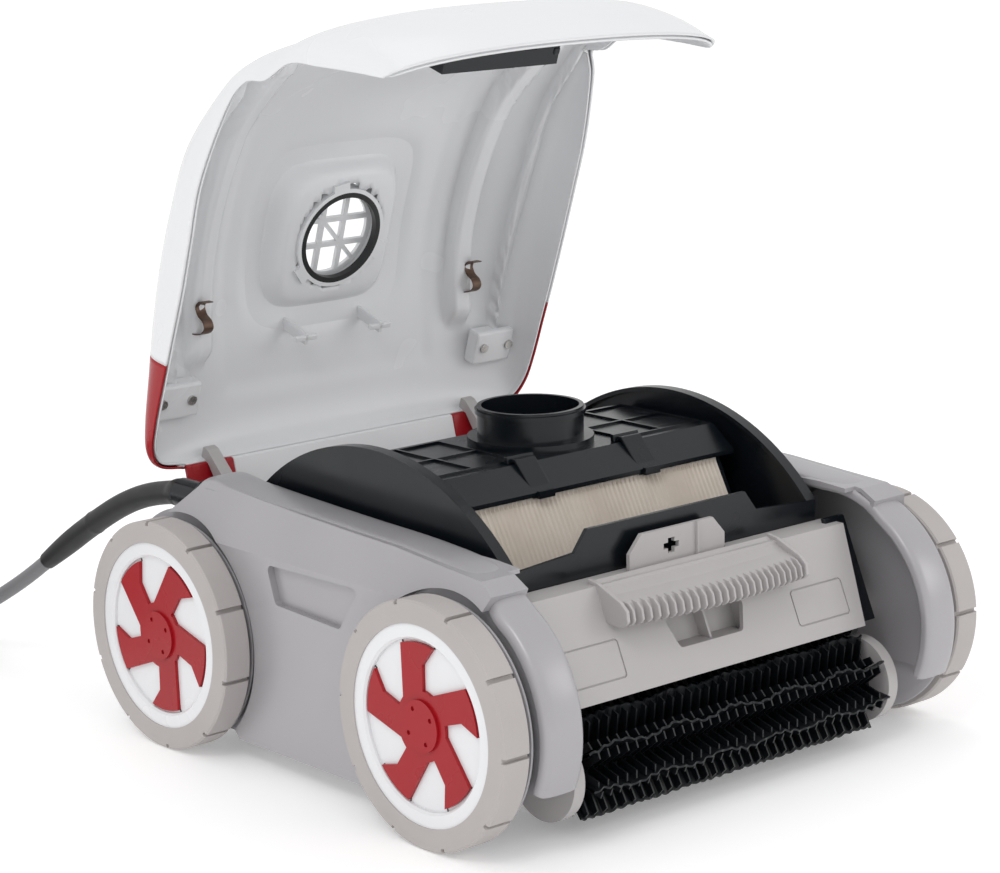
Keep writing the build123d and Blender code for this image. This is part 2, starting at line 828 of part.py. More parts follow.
with BuildPart() as cassette_lid:
    add(
        cross_slab(
            [
                cassette_point(-1, lid_half_depth, lid_z),
                cassette_point(-1, skirt_half_depth + 2, skirt_z + 3),
                cassette_point(-1, skirt_half_depth + 2, skirt_z),
                cassette_point(1, skirt_half_depth + 2, skirt_z),
                cassette_point(1, skirt_half_depth + 2, skirt_z + 3),
                cassette_point(1, lid_half_depth, lid_z),
            ],
            -lid_half_width,
            lid_half_width,
        )
    )
    add(
        cross_slab(
            [
                cassette_point(-1, lid_half_depth - 2, lid_z - lid_thickness),
                cassette_point(-1, skirt_half_depth - 1, skirt_z - 1),
                cassette_point(1, skirt_half_depth - 1, skirt_z - 1),
                cassette_point(1, lid_half_depth - 2, lid_z - lid_thickness),
            ],
            -lid_half_width + lid_thickness,
            lid_half_width - lid_thickness,
        ),
        mode=Mode.SUBTRACT,
    )
    with BuildSketch(flat_plane(lid_z - lid_thickness)):
        with Locations((0, cassette_y)):
            Circle(collar_radius + 7.0)
    extrude(amount=lid_thickness + 5.0)
    with BuildSketch(flat_plane(lid_z)):
        with Locations((0, cassette_y)):
            Circle(collar_radius)
    extrude(amount=collar_top_z - lid_z)
    with BuildSketch(flat_plane(collar_top_z - 5.0)):
        with Locations((0, cassette_y)):
            Circle(collar_radius + 1.6)
    extrude(amount=3.0)
    with BuildSketch(flat_plane(lid_z - 2 * lid_thickness)):
        with Locations((0, cassette_y)):
            Circle(collar_radius - collar_wall)
    extrude(amount=60.0, mode=Mode.SUBTRACT)
    # raised lattice squares on both wings
    lattice_x = (collar_radius + 12.0 + lid_half_width - 6.0) / 2
    lattice_width = lid_half_width - 6.0 - collar_radius - 12.0
    with BuildSketch(flat_plane(lid_z)):
        with Locations((-lattice_x, cassette_y), (lattice_x, cassette_y)):
            Rectangle(lattice_width, 2 * lid_half_depth - 14)
            Rectangle(lattice_width - 3, 2 * lid_half_depth - 17, mode=Mode.SUBTRACT)
        with Locations((-lattice_x, cassette_y), (lattice_x, cassette_y)):
            Rectangle(lattice_width, 2.0)
            Rectangle(2.0, 2 * lid_half_depth - 14)
    extrude(amount=1.6)
cassette_lid.part.label = "cassette_lid"
export_step(cassette_lid.part, "parts/cassette_lid.step")

frame_foot_z = cartridge_foot_z - 6.0
with BuildPart() as cassette_frame:
    end_outline = [
        cassette_point(-1, skirt_half_depth - 3, skirt_z - 1.0),
        cassette_point(-1, cartridge_foot_half - 3, frame_foot_z),
        cassette_point(1, cartridge_foot_half - 3, frame_foot_z),
        cassette_point(1, skirt_half_depth - 3, skirt_z - 1.0),
    ]
    add(cross_slab(end_outline, cartridge_half_width, cartridge_half_width + 4.0))
    add(cross_slab(end_outline, -cartridge_half_width - 4.0, -cartridge_half_width))
    for sign in (-1, 1):
        rail_y = sorted(
            (
                cassette_y + sign * (cartridge_foot_half - 3),
                cassette_y + sign * (cartridge_foot_half - cartridge_thickness - 3),
            )
        )
        add(
            block(
                (-cartridge_half_width, rail_y[0], frame_foot_z),
                (cartridge_half_width, rail_y[1], cartridge_foot_z),
            )
        )
cassette_frame.part.label = "cassette_frame"
export_step(cassette_frame.part, "parts/cassette_frame.step")

for name, sign in (("front_cartridge", -1), ("rear_cartridge", 1)):
    with BuildPart() as cartridge:
        add(
            cross_slab(
                [
                    cassette_point(sign, skirt_half_depth, skirt_z - 1.0),
                    cassette_point(sign, cartridge_foot_half, cartridge_foot_z),
                    cassette_point(sign, cartridge_foot_half - cartridge_thickness, cartridge_foot_z),
                    cassette_point(sign, skirt_half_depth - cartridge_thickness, skirt_z - 1.0),
                ],
                -cartridge_half_width,
                cartridge_half_width,
            )
        )
    cartridge.part.label = name
    export_step(cartridge.part, f"parts/{name}.step")

with BuildPart() as cassette_clips:
    for sign in (-1, 1):
        for clip_x in (-49.0, 49.0):
            clip_y = sign * (skirt_half_depth + 2.0)
            low_y, high_y = sorted((cassette_y + clip_y, cassette_y + clip_y + sign * 3.0))
            add(block((clip_x - 7, low_y, skirt_z - 1), (clip_x + 7, high_y, skirt_z + 4)))
cassette_clips.part.label = "cassette_clips"
export_step(cassette_clips.part, "parts/cassette_clips.step")

# ================= hood, drawn closed =================
hood_plan = [
    (0.0, -241.0),
    (70.0, -237.5),
    (118.0, -228.0),
    (146.0, -214.0),
    (152.5, -196.0),
    (157.5, -168.0),
    (173.0, -136.0),
    (180.0, -90.0),
    (hood_half_width, -30.0),
    (hood_half_width, 100.0),
]
hood_rear_y = 141.0
hood_rear_z = 200.0


def hood_envelope(inset):
    """Outer body of the closed hood, or its cavity when inset is the wall."""
    with BuildPart() as envelope:
        # side view
        with BuildSketch(side_plane(-200.0)):
            with BuildLine():
                Line((-232.0 + inset, -20.0), (-238.0 + inset, 30.0))
                Spline(
                    (-238.0 + inset, 30.0),
                    (-241.5 + inset, 78.0),
                    (-222.0 + inset * 0.9, 129.0 - inset * 0.4),
                    (-188.0 + inset * 0.75, 180.0 - inset * 0.65),
                    (-144.0 + inset * 0.5, 221.0 - inset * 0.85),
                    (-80.0 + inset * 0.2, 247.0 - inset),
                    (0.0, hood_crown_z - inset),
                    (40.0, 247.5 - inset),
                    (74.0, 236.0 - inset),
                    (108.0 - inset * 0.3, 223.5 - inset),
                    (130.0 - inset * 0.6, 213.0 - inset),
                    (hood_rear_y - inset, hood_rear_z - inset),
                    tangents=((0, 1), (0.5, -0.86)),
                )
                Polyline(
                    (hood_rear_y - inset, hood_rear_z - inset),
                    (hood_rear_y - inset, -20.0),
                    (-232.0 + inset, -20.0),
                )
            make_face()
        extrude(amount=400.0)
        # plan view
        with BuildSketch(flat_plane(-30.0)):
            with BuildLine():
                right = [(max(x - inset, 0.0), y + (inset if x < 100 else inset * 0.5)) for x, y in hood_plan]
                left = [(-x, y) for x, y in reversed(right[1:])]
                Spline(*left, *right, tangents=((0, -1), (0, 1)))
                Polyline(right[-1], (right[-1][0], 160.0), (-right[-1][0], 160.0), left[0])
            make_face()
        extrude(amount=320.0, mode=Mode.INTERSECT)
        # crown seen from the front
        half = hood_half_width + 4.0
        with BuildSketch(front_plane(200.0)):
            with BuildLine():
                Polyline(
                    (-half, hood_shoulder_z - inset),
                    (-half, -30.0),
                    (half, -30.0),
                    (half, hood_shoulder_z - inset),
                )
                ThreePointArc(
                    (half, hood_shoulder_z - inset),
                    (0.0, hood_crown_z - inset),
                    (-half, hood_shoulder_z - inset),
                )
            make_face()
        extrude(amount=460.0, mode=Mode.INTERSECT)
        # crown seen along the sloping front
        slope_plane = Plane(origin=(0, 0, 0), x_dir=(1, 0, 0), z_dir=(0, -0.627, -0.779))
        slope_top = 261.0 - inset
        slope_low = slope_top - 34.0
        with BuildSketch(slope_plane):
            with BuildLine():
                Polyline((-200, slope_low), (-200, -400), (200, -400), (200, slope_low))
                ThreePointArc((200, slope_low), (0, slope_top), (-200, slope_low))
            make_face()
        extrude(amount=400.0, both=True, mode=Mode.INTERSECT)
    return envelope.part


# everything below the free edge, in side view
edge_lift = hood_edge_gap
free_edge = (
    [(260.0, 187.0), (134.0, 187.0)]
    + [(y, z + edge_lift) for y, z in reversed(housing_ridge[2:])]
    + [(-162.0, 173.5), (-169.0, 157.0), (-188.0, 136.0), (-197.0, 100.0), (-211.0, 52.0)]
    + [(-238.0, 30.0), (-300.0, 8.0)]
    + [(-300.0, -60.0), (260.0, -60.0)]
)
fender_keepout_x = fender_inner_x - 1.5

with BuildPart() as hood_cavity:
    add(hood_envelope(hood_wall))
    # the square boss of the outlet hangs from the crown into the cavity
    with BuildSketch(flat_plane(outlet_boss_z)):
        with Locations((0, outlet_y)):
            RectangleRounded(2 * outlet_boss_half, 2 * outlet_boss_half, 16.0)
    extrude(amount=60.0, mode=Mode.SUBTRACT)

with BuildPart() as closed_hood:
    add(hood_envelope(0.0))
    add(hood_cavity.part, mode=Mode.SUBTRACT)
    add(cross_slab(free_edge, -300.0, 300.0), mode=Mode.SUBTRACT)
    # the fender drums stay clear of the front corners
    for low_x, high_x in ((fender_keepout_x, 260.0), (-260.0, -fender_keepout_x)):
        add(
            disc(low_x, high_x, axle_front_y, axle_z, fender_radius + hood_edge_gap),
            mode=Mode.SUBTRACT,
        )
    with BuildSketch(flat_plane(outlet_boss_z - 1.0)):
        with Locations((0, outlet_y)):
            Circle(outlet_ring_radius)
    extrude(amount=40.0, mode=Mode.SUBTRACT)

with BuildPart() as rear_skirt:
    add(
        cross_slab(
            [
                (hood_rear_y - hood_wall, 190.0),
                (hood_rear_y, 190.0),
                (158.0, 178.5),
                (172.0, 161.0),
                (169.5, 159.5),
                (155.5, 176.0),
                (hood_rear_y - hood_wall, 187.0),
            ],
            -body_half_width + 1.5,
            body_half_width - 1.5,
        )
    )

trim_side_x = 150.0
trim_rear_x = 104.0
trim_zone = [(34.0, 300.0), (66.0, 150.0), (300.0, 100.0), (300.0, 300.0)]


def opened(part):
    """The closed hood's piece, swung up about the hinge."""
    return part.rotate(hinge_axis, -hood_open_angle)


def trim_cutter(side):
    """The space taken by one red corner trim."""
    with BuildPart() as cutter:
        low_x, high_x = sorted((side * trim_side_x, side * 300.0))
        add(cross_slab(trim_zone, low_x, high_x))
        low_x, high_x = sorted((side * trim_rear_x, side * (trim_side_x + 1.0)))
        add(block((low_x, hood_rear_y - 2 * hood_wall, 100.0), (high_x, 200.0, 228.0)))
    return cutter.part


with BuildPart() as closed_body:
    add(closed_hood.part)
    add(rear_skirt.part)

for side_name, side in sides.items():
    with BuildPart() as closed_trim:
        add(closed_body.part)
        add(trim_cutter(side), mode=Mode.INTERSECT)
    with BuildPart() as hood_trim:
        add(opened(closed_trim.part))
    hood_trim.part.label = f"{side_name}_hood_trim"
    export_step(hood_trim.part, f"parts/{side_name}_hood_trim.step")

with BuildPart() as closed_shell:
    add(closed_body.part)
    for side in sides.values():
        add(trim_cutter(side), mode=Mode.SUBTRACT)

with BuildPart() as hood_shell:
    add(opened(closed_shell.part))
hood_shell.part.label = "hood_shell"
export_step(hood_shell.part, "parts/hood_shell.step")

# ================= outlet, latch and small hood parts =================
with BuildPart() as closed_ring:
    with BuildSketch(flat_plane(outlet_ring_z)):
        with Locations((0, outlet_y)):
            Circle(outlet_ring_radius)
            Circle(outlet_bore_radius + 4.0, mode=Mode.SUBTRACT)
    extrude(amount=outlet_boss_z + 8.0 - outlet_ring_z)
    # bayonet lugs below the boss
    with BuildSketch(flat_plane(outlet_ring_z)):
        with Locations((0, outlet_y)):
            with PolarLocations(outlet_ring_radius + 2.0, 3, start_angle=20):
                Rectangle(6.0, 14.0)
            Circle(outlet_ring_radius - 1.0, mode=Mode.SUBTRACT)
    extrude(amount=outlet_boss_z - outlet_ring_z - 0.3)
with BuildPart() as outlet_ring:
    add(opened(closed_ring.part))
outlet_ring.part.label = "outlet_ring"
export_step(outlet_ring.part, "parts/outlet_ring.step")

with BuildPart() as closed_seal:
    with BuildSketch(flat_plane(outlet_ring_z)):
        with Locations((0, outlet_y)):
            Circle(outlet_bore_radius + 4.0)
            Circle(outlet_bore_radius, mode=Mode.SUBTRACT)
    extrude(amount=5.0)
with BuildPart() as outlet_seal:
    add(opened(closed_seal.part))
outlet_seal.part.label = "outlet_seal"
export_step(outlet_seal.part, "parts/outlet_seal.step")

grille_z = outlet_boss_z + 8.0
with BuildPart() as closed_grille:
    with BuildSketch(flat_plane(grille_z)):
        with Locations((0, outlet_y)):
            Circle(outlet_ring_radius)
            Circle(outlet_bore_radius, mode=Mode.SUBTRACT)
    extrude(amount=3.0)
    with BuildSketch(flat_plane(grille_z)):
        with Locations((0, outlet_y)):
            for shift in (-10.0, 10.0):
                with Locations((shift, 0)):
                    Rectangle(4.0, 2 * outlet_bore_radius)
                with Locations((0, shift)):
                    Rectangle(2 * outlet_bore_radius, 4.0)
            Rectangle(2 * outlet_bore_radius, 3.0, rotation=45)
    extrude(amount=3.0)
with BuildPart() as outlet_grille:
    add(opened(closed_grille.part))
outlet_grille.part.label = "outlet_grille"
export_step(outlet_grille.part, "parts/outlet_grille.step")

# arms from the hood's rear wall down to the hinge pins
with BuildPart() as closed_arms:
    for sign in (-1, 1):
        low_x = sign * hinge_arm_x - hinge_arm_width / 2
        high_x = sign * hinge_arm_x + hinge_arm_width / 2
        add(
            cross_slab(
                [
                    (hood_rear_y - hood_wall, 186.8),
                    (hood_rear_y - hood_wall, 195.0),
                    (hood_rear_y - hood_wall - 9.0, 195.0),
                    (hood_rear_y - hood_wall - 9.0, 190.0),
                    (153.0, 140.0),
                    (168.0, 146.0),
                ],
                low_x,
                high_x,
            )
        )
        add(disc(low_x, high_x, *hinge, 9.0))
        add(
            disc(low_x - 1, high_x + 1, *hinge, hinge_pin_radius + axle_running_gap),
            mode=Mode.SUBTRACT,
        )
    add(rear_skirt.part, mode=Mode.SUBTRACT)
with BuildPart() as hinge_arms:
    add(opened(closed_arms.part))
hinge_arms.part.label = "hinge_arms"
export_step(hinge_arms.part, "parts/hinge_arms.step")

# catch block behind the front lip, with its sprung lever
latch_front_y = -237.0
latch_back_y = -187.0
latch_pivot = (-214.0, latch_z + 4.0)
lever_half = 30.0
with BuildPart() as closed_latch:
    add(
        block(
            (-latch_half_width, latch_front_y, latch_z - 6),
            (latch_half_width, latch_back_y, latch_z + 10),
        )
    )
    add(
        block((-lever_half - 1, -226.0, latch_z - 10), (lever_half + 1, -199.0, latch_z + 11)),
        mode=Mode.SUBTRACT,
    )
    add(disc(-lever_half - 8, lever_half + 8, *latch_pivot, 2.0 + axle_running_gap), mode=Mode.SUBTRACT)
    add(hood_envelope(hood_wall), mode=Mode.INTERSECT)
with BuildPart() as latch_block:
    add(opened(closed_latch.part))
latch_block.part.label = "latch_block"
export_step(latch_block.part, "parts/latch_block.step")

with BuildPart() as closed_lever:
    add(disc(-lever_half - 7.5, lever_half + 7.5, *latch_pivot, 2.0))
    add(disc(-lever_half, lever_half, *latch_pivot, 4.0))
    add(block((-lever_half, -216.5, latch_z - 12), (lever_half, -211.5, latch_z + 4)))
    add(block((-lever_half, -212.0, latch_z - 12), (lever_half, -206.0, latch_z - 8)))
with BuildPart() as latch_lever:
    add(opened(closed_lever.part))
latch_lever.part.label = "latch_lever"
export_step(latch_lever.part, "parts/latch_lever.step")

# springy hold-down clips that press on the cassette's ends, and the hood's screws
clip_x = 126.0
clip_y = 40.0
clip_low_z = lid_z + 4.0
for side_name, side in sides.items():
    with BuildPart() as closed_clip:
        with BuildSketch(flat_plane(clip_low_z)):
            with Locations((side * clip_x, clip_y)):
                RectangleRounded(9.0, 26.0, 2.0)
        extrude(amount=60.0)
        add(block((side * clip_x - 3, clip_y - 20, clip_low_z + 4), (side * clip_x + 3, clip_y - 12, 300)))
        add(hood_cavity.part, mode=Mode.INTERSECT)
    with BuildPart() as hold_down_clip:
        add(opened(closed_clip.part))
    hold_down_clip.part.label = f"{side_name}_hold_down_clip"
    export_step(hold_down_clip.part, f"parts/{side_name}_hold_down_clip.step")

with BuildPart() as closed_bosses:
    for sign in (-1, 1):
        for screw_x in screw_places:
            with BuildSketch(flat_plane(screw_boss_z)):
                with Locations((sign * screw_x, screw_y)):
                    Circle(screw_boss_radius)
                    Circle(screw_shank_radius, mode=Mode.SUBTRACT)
            extrude(amount=60.0)
    add(hood_cavity.part, mode=Mode.INTERSECT)
with BuildPart() as screw_bosses:
    add(opened(closed_bosses.part))
screw_bosses.part.label = "screw_bosses"
export_step(screw_bosses.part, "parts/screw_bosses.step")

with BuildPart() as closed_screws:
    for sign in (-1, 1):
        for screw_x in screw_places:
            with BuildSketch(flat_plane(screw_boss_z)):
                with Locations((sign * screw_x, screw_y)):
                    Circle(screw_head_radius)
            extrude(amount=-screw_head_height)
            with BuildSketch(flat_plane(screw_boss_z)):
                with Locations((sign * screw_x, screw_y)):
                    Circle(screw_shank_radius - screw_thread_gap)
            extrude(amount=screw_length)
with BuildPart() as hood_screws:
    add(opened(closed_screws.part))
hood_screws.part.label = "hood_screws"
export_step(hood_screws.part, "parts/hood_screws.step")

# ================= cable =================
gland_exit = (gland_x, 180.0, 166.0)
with BuildPart() as cable_gland:
    gland_plane = Plane(origin=(gland_x, 147.5, 171.5), x_dir=(1, 0, 0), z_dir=(0, 0.649, 0.761))
    with BuildSketch(gland_plane):
        RectangleRounded(24.0, 26.0, 4.0)
    extrude(amount=4.0)
    with BuildSketch(Plane(origin=(gland_x, 148.0, gland_exit[2]), x_dir=(1, 0, 0), z_dir=(0, 1, 0))):
        Circle(sleeve_radius + 2.0)
    extrude(amount=gland_exit[1] - 148.0)
    add(left_side_housing.part, mode=Mode.SUBTRACT)
cable_gland.part = cable_gland.part.solids().sort_by(SortBy.VOLUME)[-1]
cable_gland.part.label = "cable_gland"
export_step(cable_gland.part, "parts/cable_gland.step")

sleeve_route = [
    gland_exit,
    (-166.5, 208.0, 162.0),
    (-169.0, 246.0, 149.0),
    (-173.0, 287.0, 125.5),
    (-178.0, 326.0, 99.0),
]
cable_route = [
    sleeve_route[-1],
    (-183.5, 362.0, 73.0),
    (-189.0, 402.0, 49.0),
    (-193.0, 444.0, 27.5),
    (-194.0, 488.0, 11.0),
    (-191.5, 528.0, 6.6),
    (-193.0, 552.0, 6.9),
]


def arc_radii(route):
    """Largest tangent arc for each corner of a route."""
    radii = []
    for a, b, c in zip(route, route[1:], route[2:]):
        first = Vector(*b) - Vector(*a)
        second = Vector(*c) - Vector(*b)
        half_turn = radians(first.get_angle(second)) / 2
        radii.append(0.45 * min(first.length, second.length) / tan(half_turn))
    return radii


def laid_tube(route, radius):
    """A round tube along straight runs joined by tangent arcs."""
    radii = arc_radii(route)
    with BuildPart() as tube:
        with BuildLine() as path:
            FilletPolyline(*route, radius=radii)
        start = Vector(*route[0])
        heading = (Vector(*route[1]) - start).normalized()
        with BuildSketch(Plane(origin=start, z_dir=heading)):
            Circle(radius)
        sweep(path=path.wires()[0])
    return tube.part


with BuildPart() as cable_sleeve:
    add(laid_tube(sleeve_route, sleeve_radius))
cable_sleeve.part.label = "cable_sleeve"
export_step(cable_sleeve.part, "parts/cable_sleeve.step")

with BuildPart() as cable:
    add(laid_tube(cable_route, cable_radius))
cable.part.label = "cable"
export_step(cable.part, "parts/cable.step")

coil_half_width = coil_layers * cable_radius
coil_height = 2 * cable_radius * coil_layers
with BuildPart() as cable_coil:
    with BuildSketch(flat_plane(tie_thickness + 0.1)):
        with Locations(coil_centre):
            Circle(coil_radius + coil_half_width)
            Circle(coil_radius - coil_half_width, mode=Mode.SUBTRACT)
    extrude(amount=coil_height)
cable_coil.part.label = "cable_coil"
export_step(cable_coil.part, "parts/cable_coil.step")

with BuildPart() as cable_tie:
    tie_plane = Plane(origin=(coil_centre[0], coil_centre[1], 0), x_dir=(1, 0, 0), z_dir=(0, -1, 0))
    tie_middle = (-coil_radius, tie_thickness + 0.1 + coil_height / 2)
    with BuildSketch(tie_plane):
        with Locations(tie_middle):
            tie_inner_width = 2 * coil_half_width + 4.0
            tie_inner_height = coil_height + 0.2
            Rectangle(tie_inner_width + 2 * tie_thickness, tie_inner_height + 2 * tie_thickness)
            Rectangle(tie_inner_width, tie_inner_height, mode=Mode.SUBTRACT)
    extrude(amount=8.0, both=True)
cable_tie.part.label = "cable_tie"
export_step(cable_tie.part, "parts/cable_tie.step")

connector_radius = 13.0
connector_start = (coil_centre[0] + 58.0, coil_centre[1] - 38.0, connector_radius + 0.2)
with BuildPart() as cable_connector:
    connector_plane = Plane(origin=connector_start, z_dir=(-0.35, 0.937, 0))
    with BuildSketch(connector_plane):
        Circle(cable_radius + 1.5)
    extrude(amount=24.0)
    with BuildSketch(connector_plane.offset(22.0)):
        Circle(connector_radius - 2.0)
    extrude(amount=12.0)
    with BuildSketch(connector_plane.offset(34.0)):
        Circle(connector_radius)
    extrude(amount=30.0)
    with BuildSketch(connector_plane.offset(64.0)):
        Circle(connector_radius - 3.0)
    extrude(amount=-14.0, mode=Mode.SUBTRACT)
cable_connector.part.label = "cable_connector"
export_step(cable_connector.part, "parts/cable_connector.step")
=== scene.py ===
# Robotic pool cleaner with its hood raised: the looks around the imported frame. Metres.
import json
import math

import bmesh
import bpy
import numpy as np
from mathutils import Matrix, Vector


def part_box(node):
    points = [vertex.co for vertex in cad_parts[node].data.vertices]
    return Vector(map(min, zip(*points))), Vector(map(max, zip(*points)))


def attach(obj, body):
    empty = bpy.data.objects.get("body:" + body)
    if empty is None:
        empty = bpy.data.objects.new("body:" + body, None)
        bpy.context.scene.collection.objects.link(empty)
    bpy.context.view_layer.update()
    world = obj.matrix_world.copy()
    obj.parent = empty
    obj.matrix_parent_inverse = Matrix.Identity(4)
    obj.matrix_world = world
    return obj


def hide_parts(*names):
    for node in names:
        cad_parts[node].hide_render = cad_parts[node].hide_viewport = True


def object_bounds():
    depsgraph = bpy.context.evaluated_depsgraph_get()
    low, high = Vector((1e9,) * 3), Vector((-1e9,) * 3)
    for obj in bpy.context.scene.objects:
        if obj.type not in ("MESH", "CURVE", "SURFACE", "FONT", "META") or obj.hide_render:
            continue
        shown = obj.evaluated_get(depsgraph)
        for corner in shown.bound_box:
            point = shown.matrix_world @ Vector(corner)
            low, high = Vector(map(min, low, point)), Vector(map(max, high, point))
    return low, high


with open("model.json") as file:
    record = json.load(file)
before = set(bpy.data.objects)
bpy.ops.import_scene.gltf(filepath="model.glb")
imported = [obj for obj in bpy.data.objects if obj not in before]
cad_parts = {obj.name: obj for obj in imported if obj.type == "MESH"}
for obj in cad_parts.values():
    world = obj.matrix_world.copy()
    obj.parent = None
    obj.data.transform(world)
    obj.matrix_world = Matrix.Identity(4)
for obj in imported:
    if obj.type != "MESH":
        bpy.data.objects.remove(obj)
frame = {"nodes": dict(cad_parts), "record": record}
cadLow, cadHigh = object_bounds()
nodes = frame["nodes"]
mm = 0.001  # one millimetre
sides = {"left": -1.0, "right": 1.0}
corners = [f"{side}_{end}" for side in sides for end in ("front", "rear")]
print("frame loaded:", len(nodes), "nodes")


# ---- camera: a long lens, low, from the front left ----
camera = {
    "place": (-1.29499, -1.45372, 0.63174),
    "azimuth": -41.374,
    "elevation": 12.218,
    "roll": -0.964,
    "lens": 103.52,
    "shift": (-0.0119, -0.0034),
}


def makeCamera(look):
    # back points from the subject to the camera; roll turns right and up about it
    az, el, roll = (math.radians(look[k]) for k in ("azimuth", "elevation", "roll"))
    back = Vector((math.sin(az) * math.cos(el), -math.cos(az) * math.cos(el), math.sin(el)))
    right = Vector((0, 0, 1)).cross(back).normalized()
    up = back.cross(right)
    right, up = right * math.cos(roll) + up * math.sin(roll), up * math.cos(roll) - right * math.sin(roll)
    data = bpy.data.cameras.new("camera")
    data.sensor_width = 36.0
    data.lens = look["lens"]
    data.shift_x, data.shift_y = look["shift"]
    data.clip_start, data.clip_end = 0.05, 200.0
    eye = bpy.data.objects.new("camera", data)
    eye.matrix_world = Matrix.Translation(look["place"]) @ Matrix((right, up, back)).transposed().to_4x4()
    bpy.context.scene.collection.objects.link(eye)
    bpy.context.scene.camera = eye


makeCamera(camera)


# ---- materials ----
def linear(hexText):
    # sRGB to linear, channel by channel: below the toe v/12.92, above it ((v+0.055)/1.055)^2.4
    channels = [int(hexText[i : i + 2], 16) / 255 for i in (1, 3, 5)]
    return [v / 12.92 if v <= 0.04045 else ((v + 0.055) / 1.055) ** 2.4 for v in channels] + [1.0]


def addNode(tree, kind, settings=None, links=None):
    # one node, its own settings or unlinked sockets, and the sockets that feed it
    node = tree.nodes.new(kind)
    for key, value in (settings or {}).items():
        if isinstance(key, str) and hasattr(node, key):
            setattr(node, key, value)
        else:
            node.inputs[key].default_value = value
    for key, source in (links or {}).items():
        tree.links.new(source, node.inputs[key])
    return node


def newMaterial(name, look):
    # an empty shader with the values that are the same all over the surface
    material = bpy.data.materials.new(name)
    material.use_nodes = True
    shader = material.node_tree.nodes["Principled BSDF"]
    for key, value in look.get("shader", {}).items():
        shader.inputs[key].default_value = value
    return material, material.node_tree, shader


def moulded(name, look):
    # injection-moulded plastic: the shade drifts slowly, a fine spark-eroded grain dulls the gloss,
    # and faint flow marks several centimetres long vary the roughness
    material, tree, shader = newMaterial(name, look)
    place = addNode(tree, "ShaderNodeTexCoord").outputs["Object"]
    drift = addNode(
        tree, "ShaderNodeTexNoise", {"Scale": 1 / (look["driftMm"] * mm), "Detail": 3.0}, {"Vector": place}
    )
    grain = addNode(
        tree, "ShaderNodeTexNoise", {"Scale": 1 / (look["grainMm"] * mm), "Detail": 2.0}, {"Vector": place}
    )
    colour = addNode(
        tree,
        "ShaderNodeMix",
        {"data_type": "RGBA", 6: linear(look["colours"][0]), 7: linear(look["colours"][1])},
        {0: drift.outputs["Fac"]},
    )
    tree.links.new(colour.outputs[2], shader.inputs["Base Color"])
    rough = addNode(
        tree,
        "ShaderNodeMapRange",
        {"From Min": 0.3, "From Max": 0.7, "To Min": look["roughness"][0], "To Max": look["roughness"][1]},
        {"Value": drift.outputs["Fac"]},
    )
    tree.links.new(rough.outputs["Result"], shader.inputs["Roughness"])
    bump = addNode(
        tree,
        "ShaderNodeBump",
        {"Strength": look["bump"], "Distance": look["grainMm"] * 0.15 * mm},
        {"Height": grain.outputs["Fac"]},
    )
    tree.links.new(bump.outputs["Normal"], shader.inputs["Normal"])
    return material


# painted ABS with a fine aluminium flake: satin, with a soft metallic sheen under a thin clear layer
silverAbs = {
    "colours": ("#a2a0a3", "#acaaad"),
    "roughness": (0.30, 0.38),
    "driftMm": 90.0,
    "grainMm": 0.6,
    "bump": 0.12,
    "shader": {"Metallic": 0.25, "IOR": 1.53, "Specular IOR Level": 0.4},
}
# unpainted ABS, matt from a spark-eroded mould
warmAbs = {
    "colours": ("#aca8a8", "#b6b2b2"),
    "roughness": (0.42, 0.50),
    "driftMm": 80.0,
    "grainMm": 0.9,
    "bump": 0.18,
    "shader": {"IOR": 1.53, "Specular IOR Level": 0.35},
}
# glossy white ABS from a polished mould
whiteAbs = {
    "colours": ("#dfe0e2", "#e5e6e8"),
    "roughness": (0.25, 0.28),
    "driftMm": 110.0,
    "grainMm": 1.6,
    "bump": 0.05,
    "shader": {"IOR": 1.53, "Specular IOR Level": 0.4},
}
# glossy deep red ABS
redAbs = {
    "colours": ("#960f19", "#a4151f"),
    "roughness": (0.24, 0.32),
    "driftMm": 50.0,
    "grainMm": 1.2,
    "bump": 0.06,
    "shader": {"IOR": 1.53, "Specular IOR Level": 0.28},
}
# blue-black polypropylene, half gloss, with the slight haze of a filled plastic
blackPp = {
    "colours": ("#0b0f13", "#12171c"),
    "roughness": (0.18, 0.30),
    "driftMm": 60.0,
    "grainMm": 0.8,
    "bump": 0.12,
    "shader": {"IOR": 1.49, "Specular IOR Level": 0.38},
}
# warm grey thermoplastic rubber of the tyres, dull with a dry grain
treadRubber = {
    "colours": ("#aca7a5", "#b6b1af"),
    "roughness": (0.58, 0.70),
    "driftMm": 45.0,
    "grainMm": 1.1,
    "bump": 0.35,
    "shader": {"IOR": 1.5, "Specular IOR Level": 0.3},
}
# soft black PVC of the brush, slightly shiny along its creases
brushPvc = {
    "colours": ("#090b0e", "#101418"),
    "roughness": (0.34, 0.46),
    "driftMm": 18.0,
    "grainMm": 1.0,
    "bump": 0.25,
    "shader": {"IOR": 1.52, "Specular IOR Level": 0.35},
}
# EPDM seal and sleeve rubber
sealRubber = {
    "colours": ("#0e0f11", "#151618"),
    "roughness": (0.45, 0.58),
    "driftMm": 30.0,
    "grainMm": 0.9,
    "bump": 0.25,
    "shader": {"IOR": 1.52},
}
# foamed thermoplastic jacket of a floating cable
cableJacket = {
    "colours": ("#6f6f71", "#7c7c7e"),
    "roughness": (0.42, 0.55),
    "driftMm": 60.0,
    "grainMm": 1.2,
    "bump": 0.25,
    "shader": {"IOR": 1.5},
}
# natural acetal of the bushes
acetal = {
    "colours": ("#d9d8d2", "#e2e1db"),
    "roughness": (0.32, 0.42),
    "driftMm": 40.0,
    "grainMm": 1.0,
    "bump": 0.1,
    "shader": {"IOR": 1.48},
}
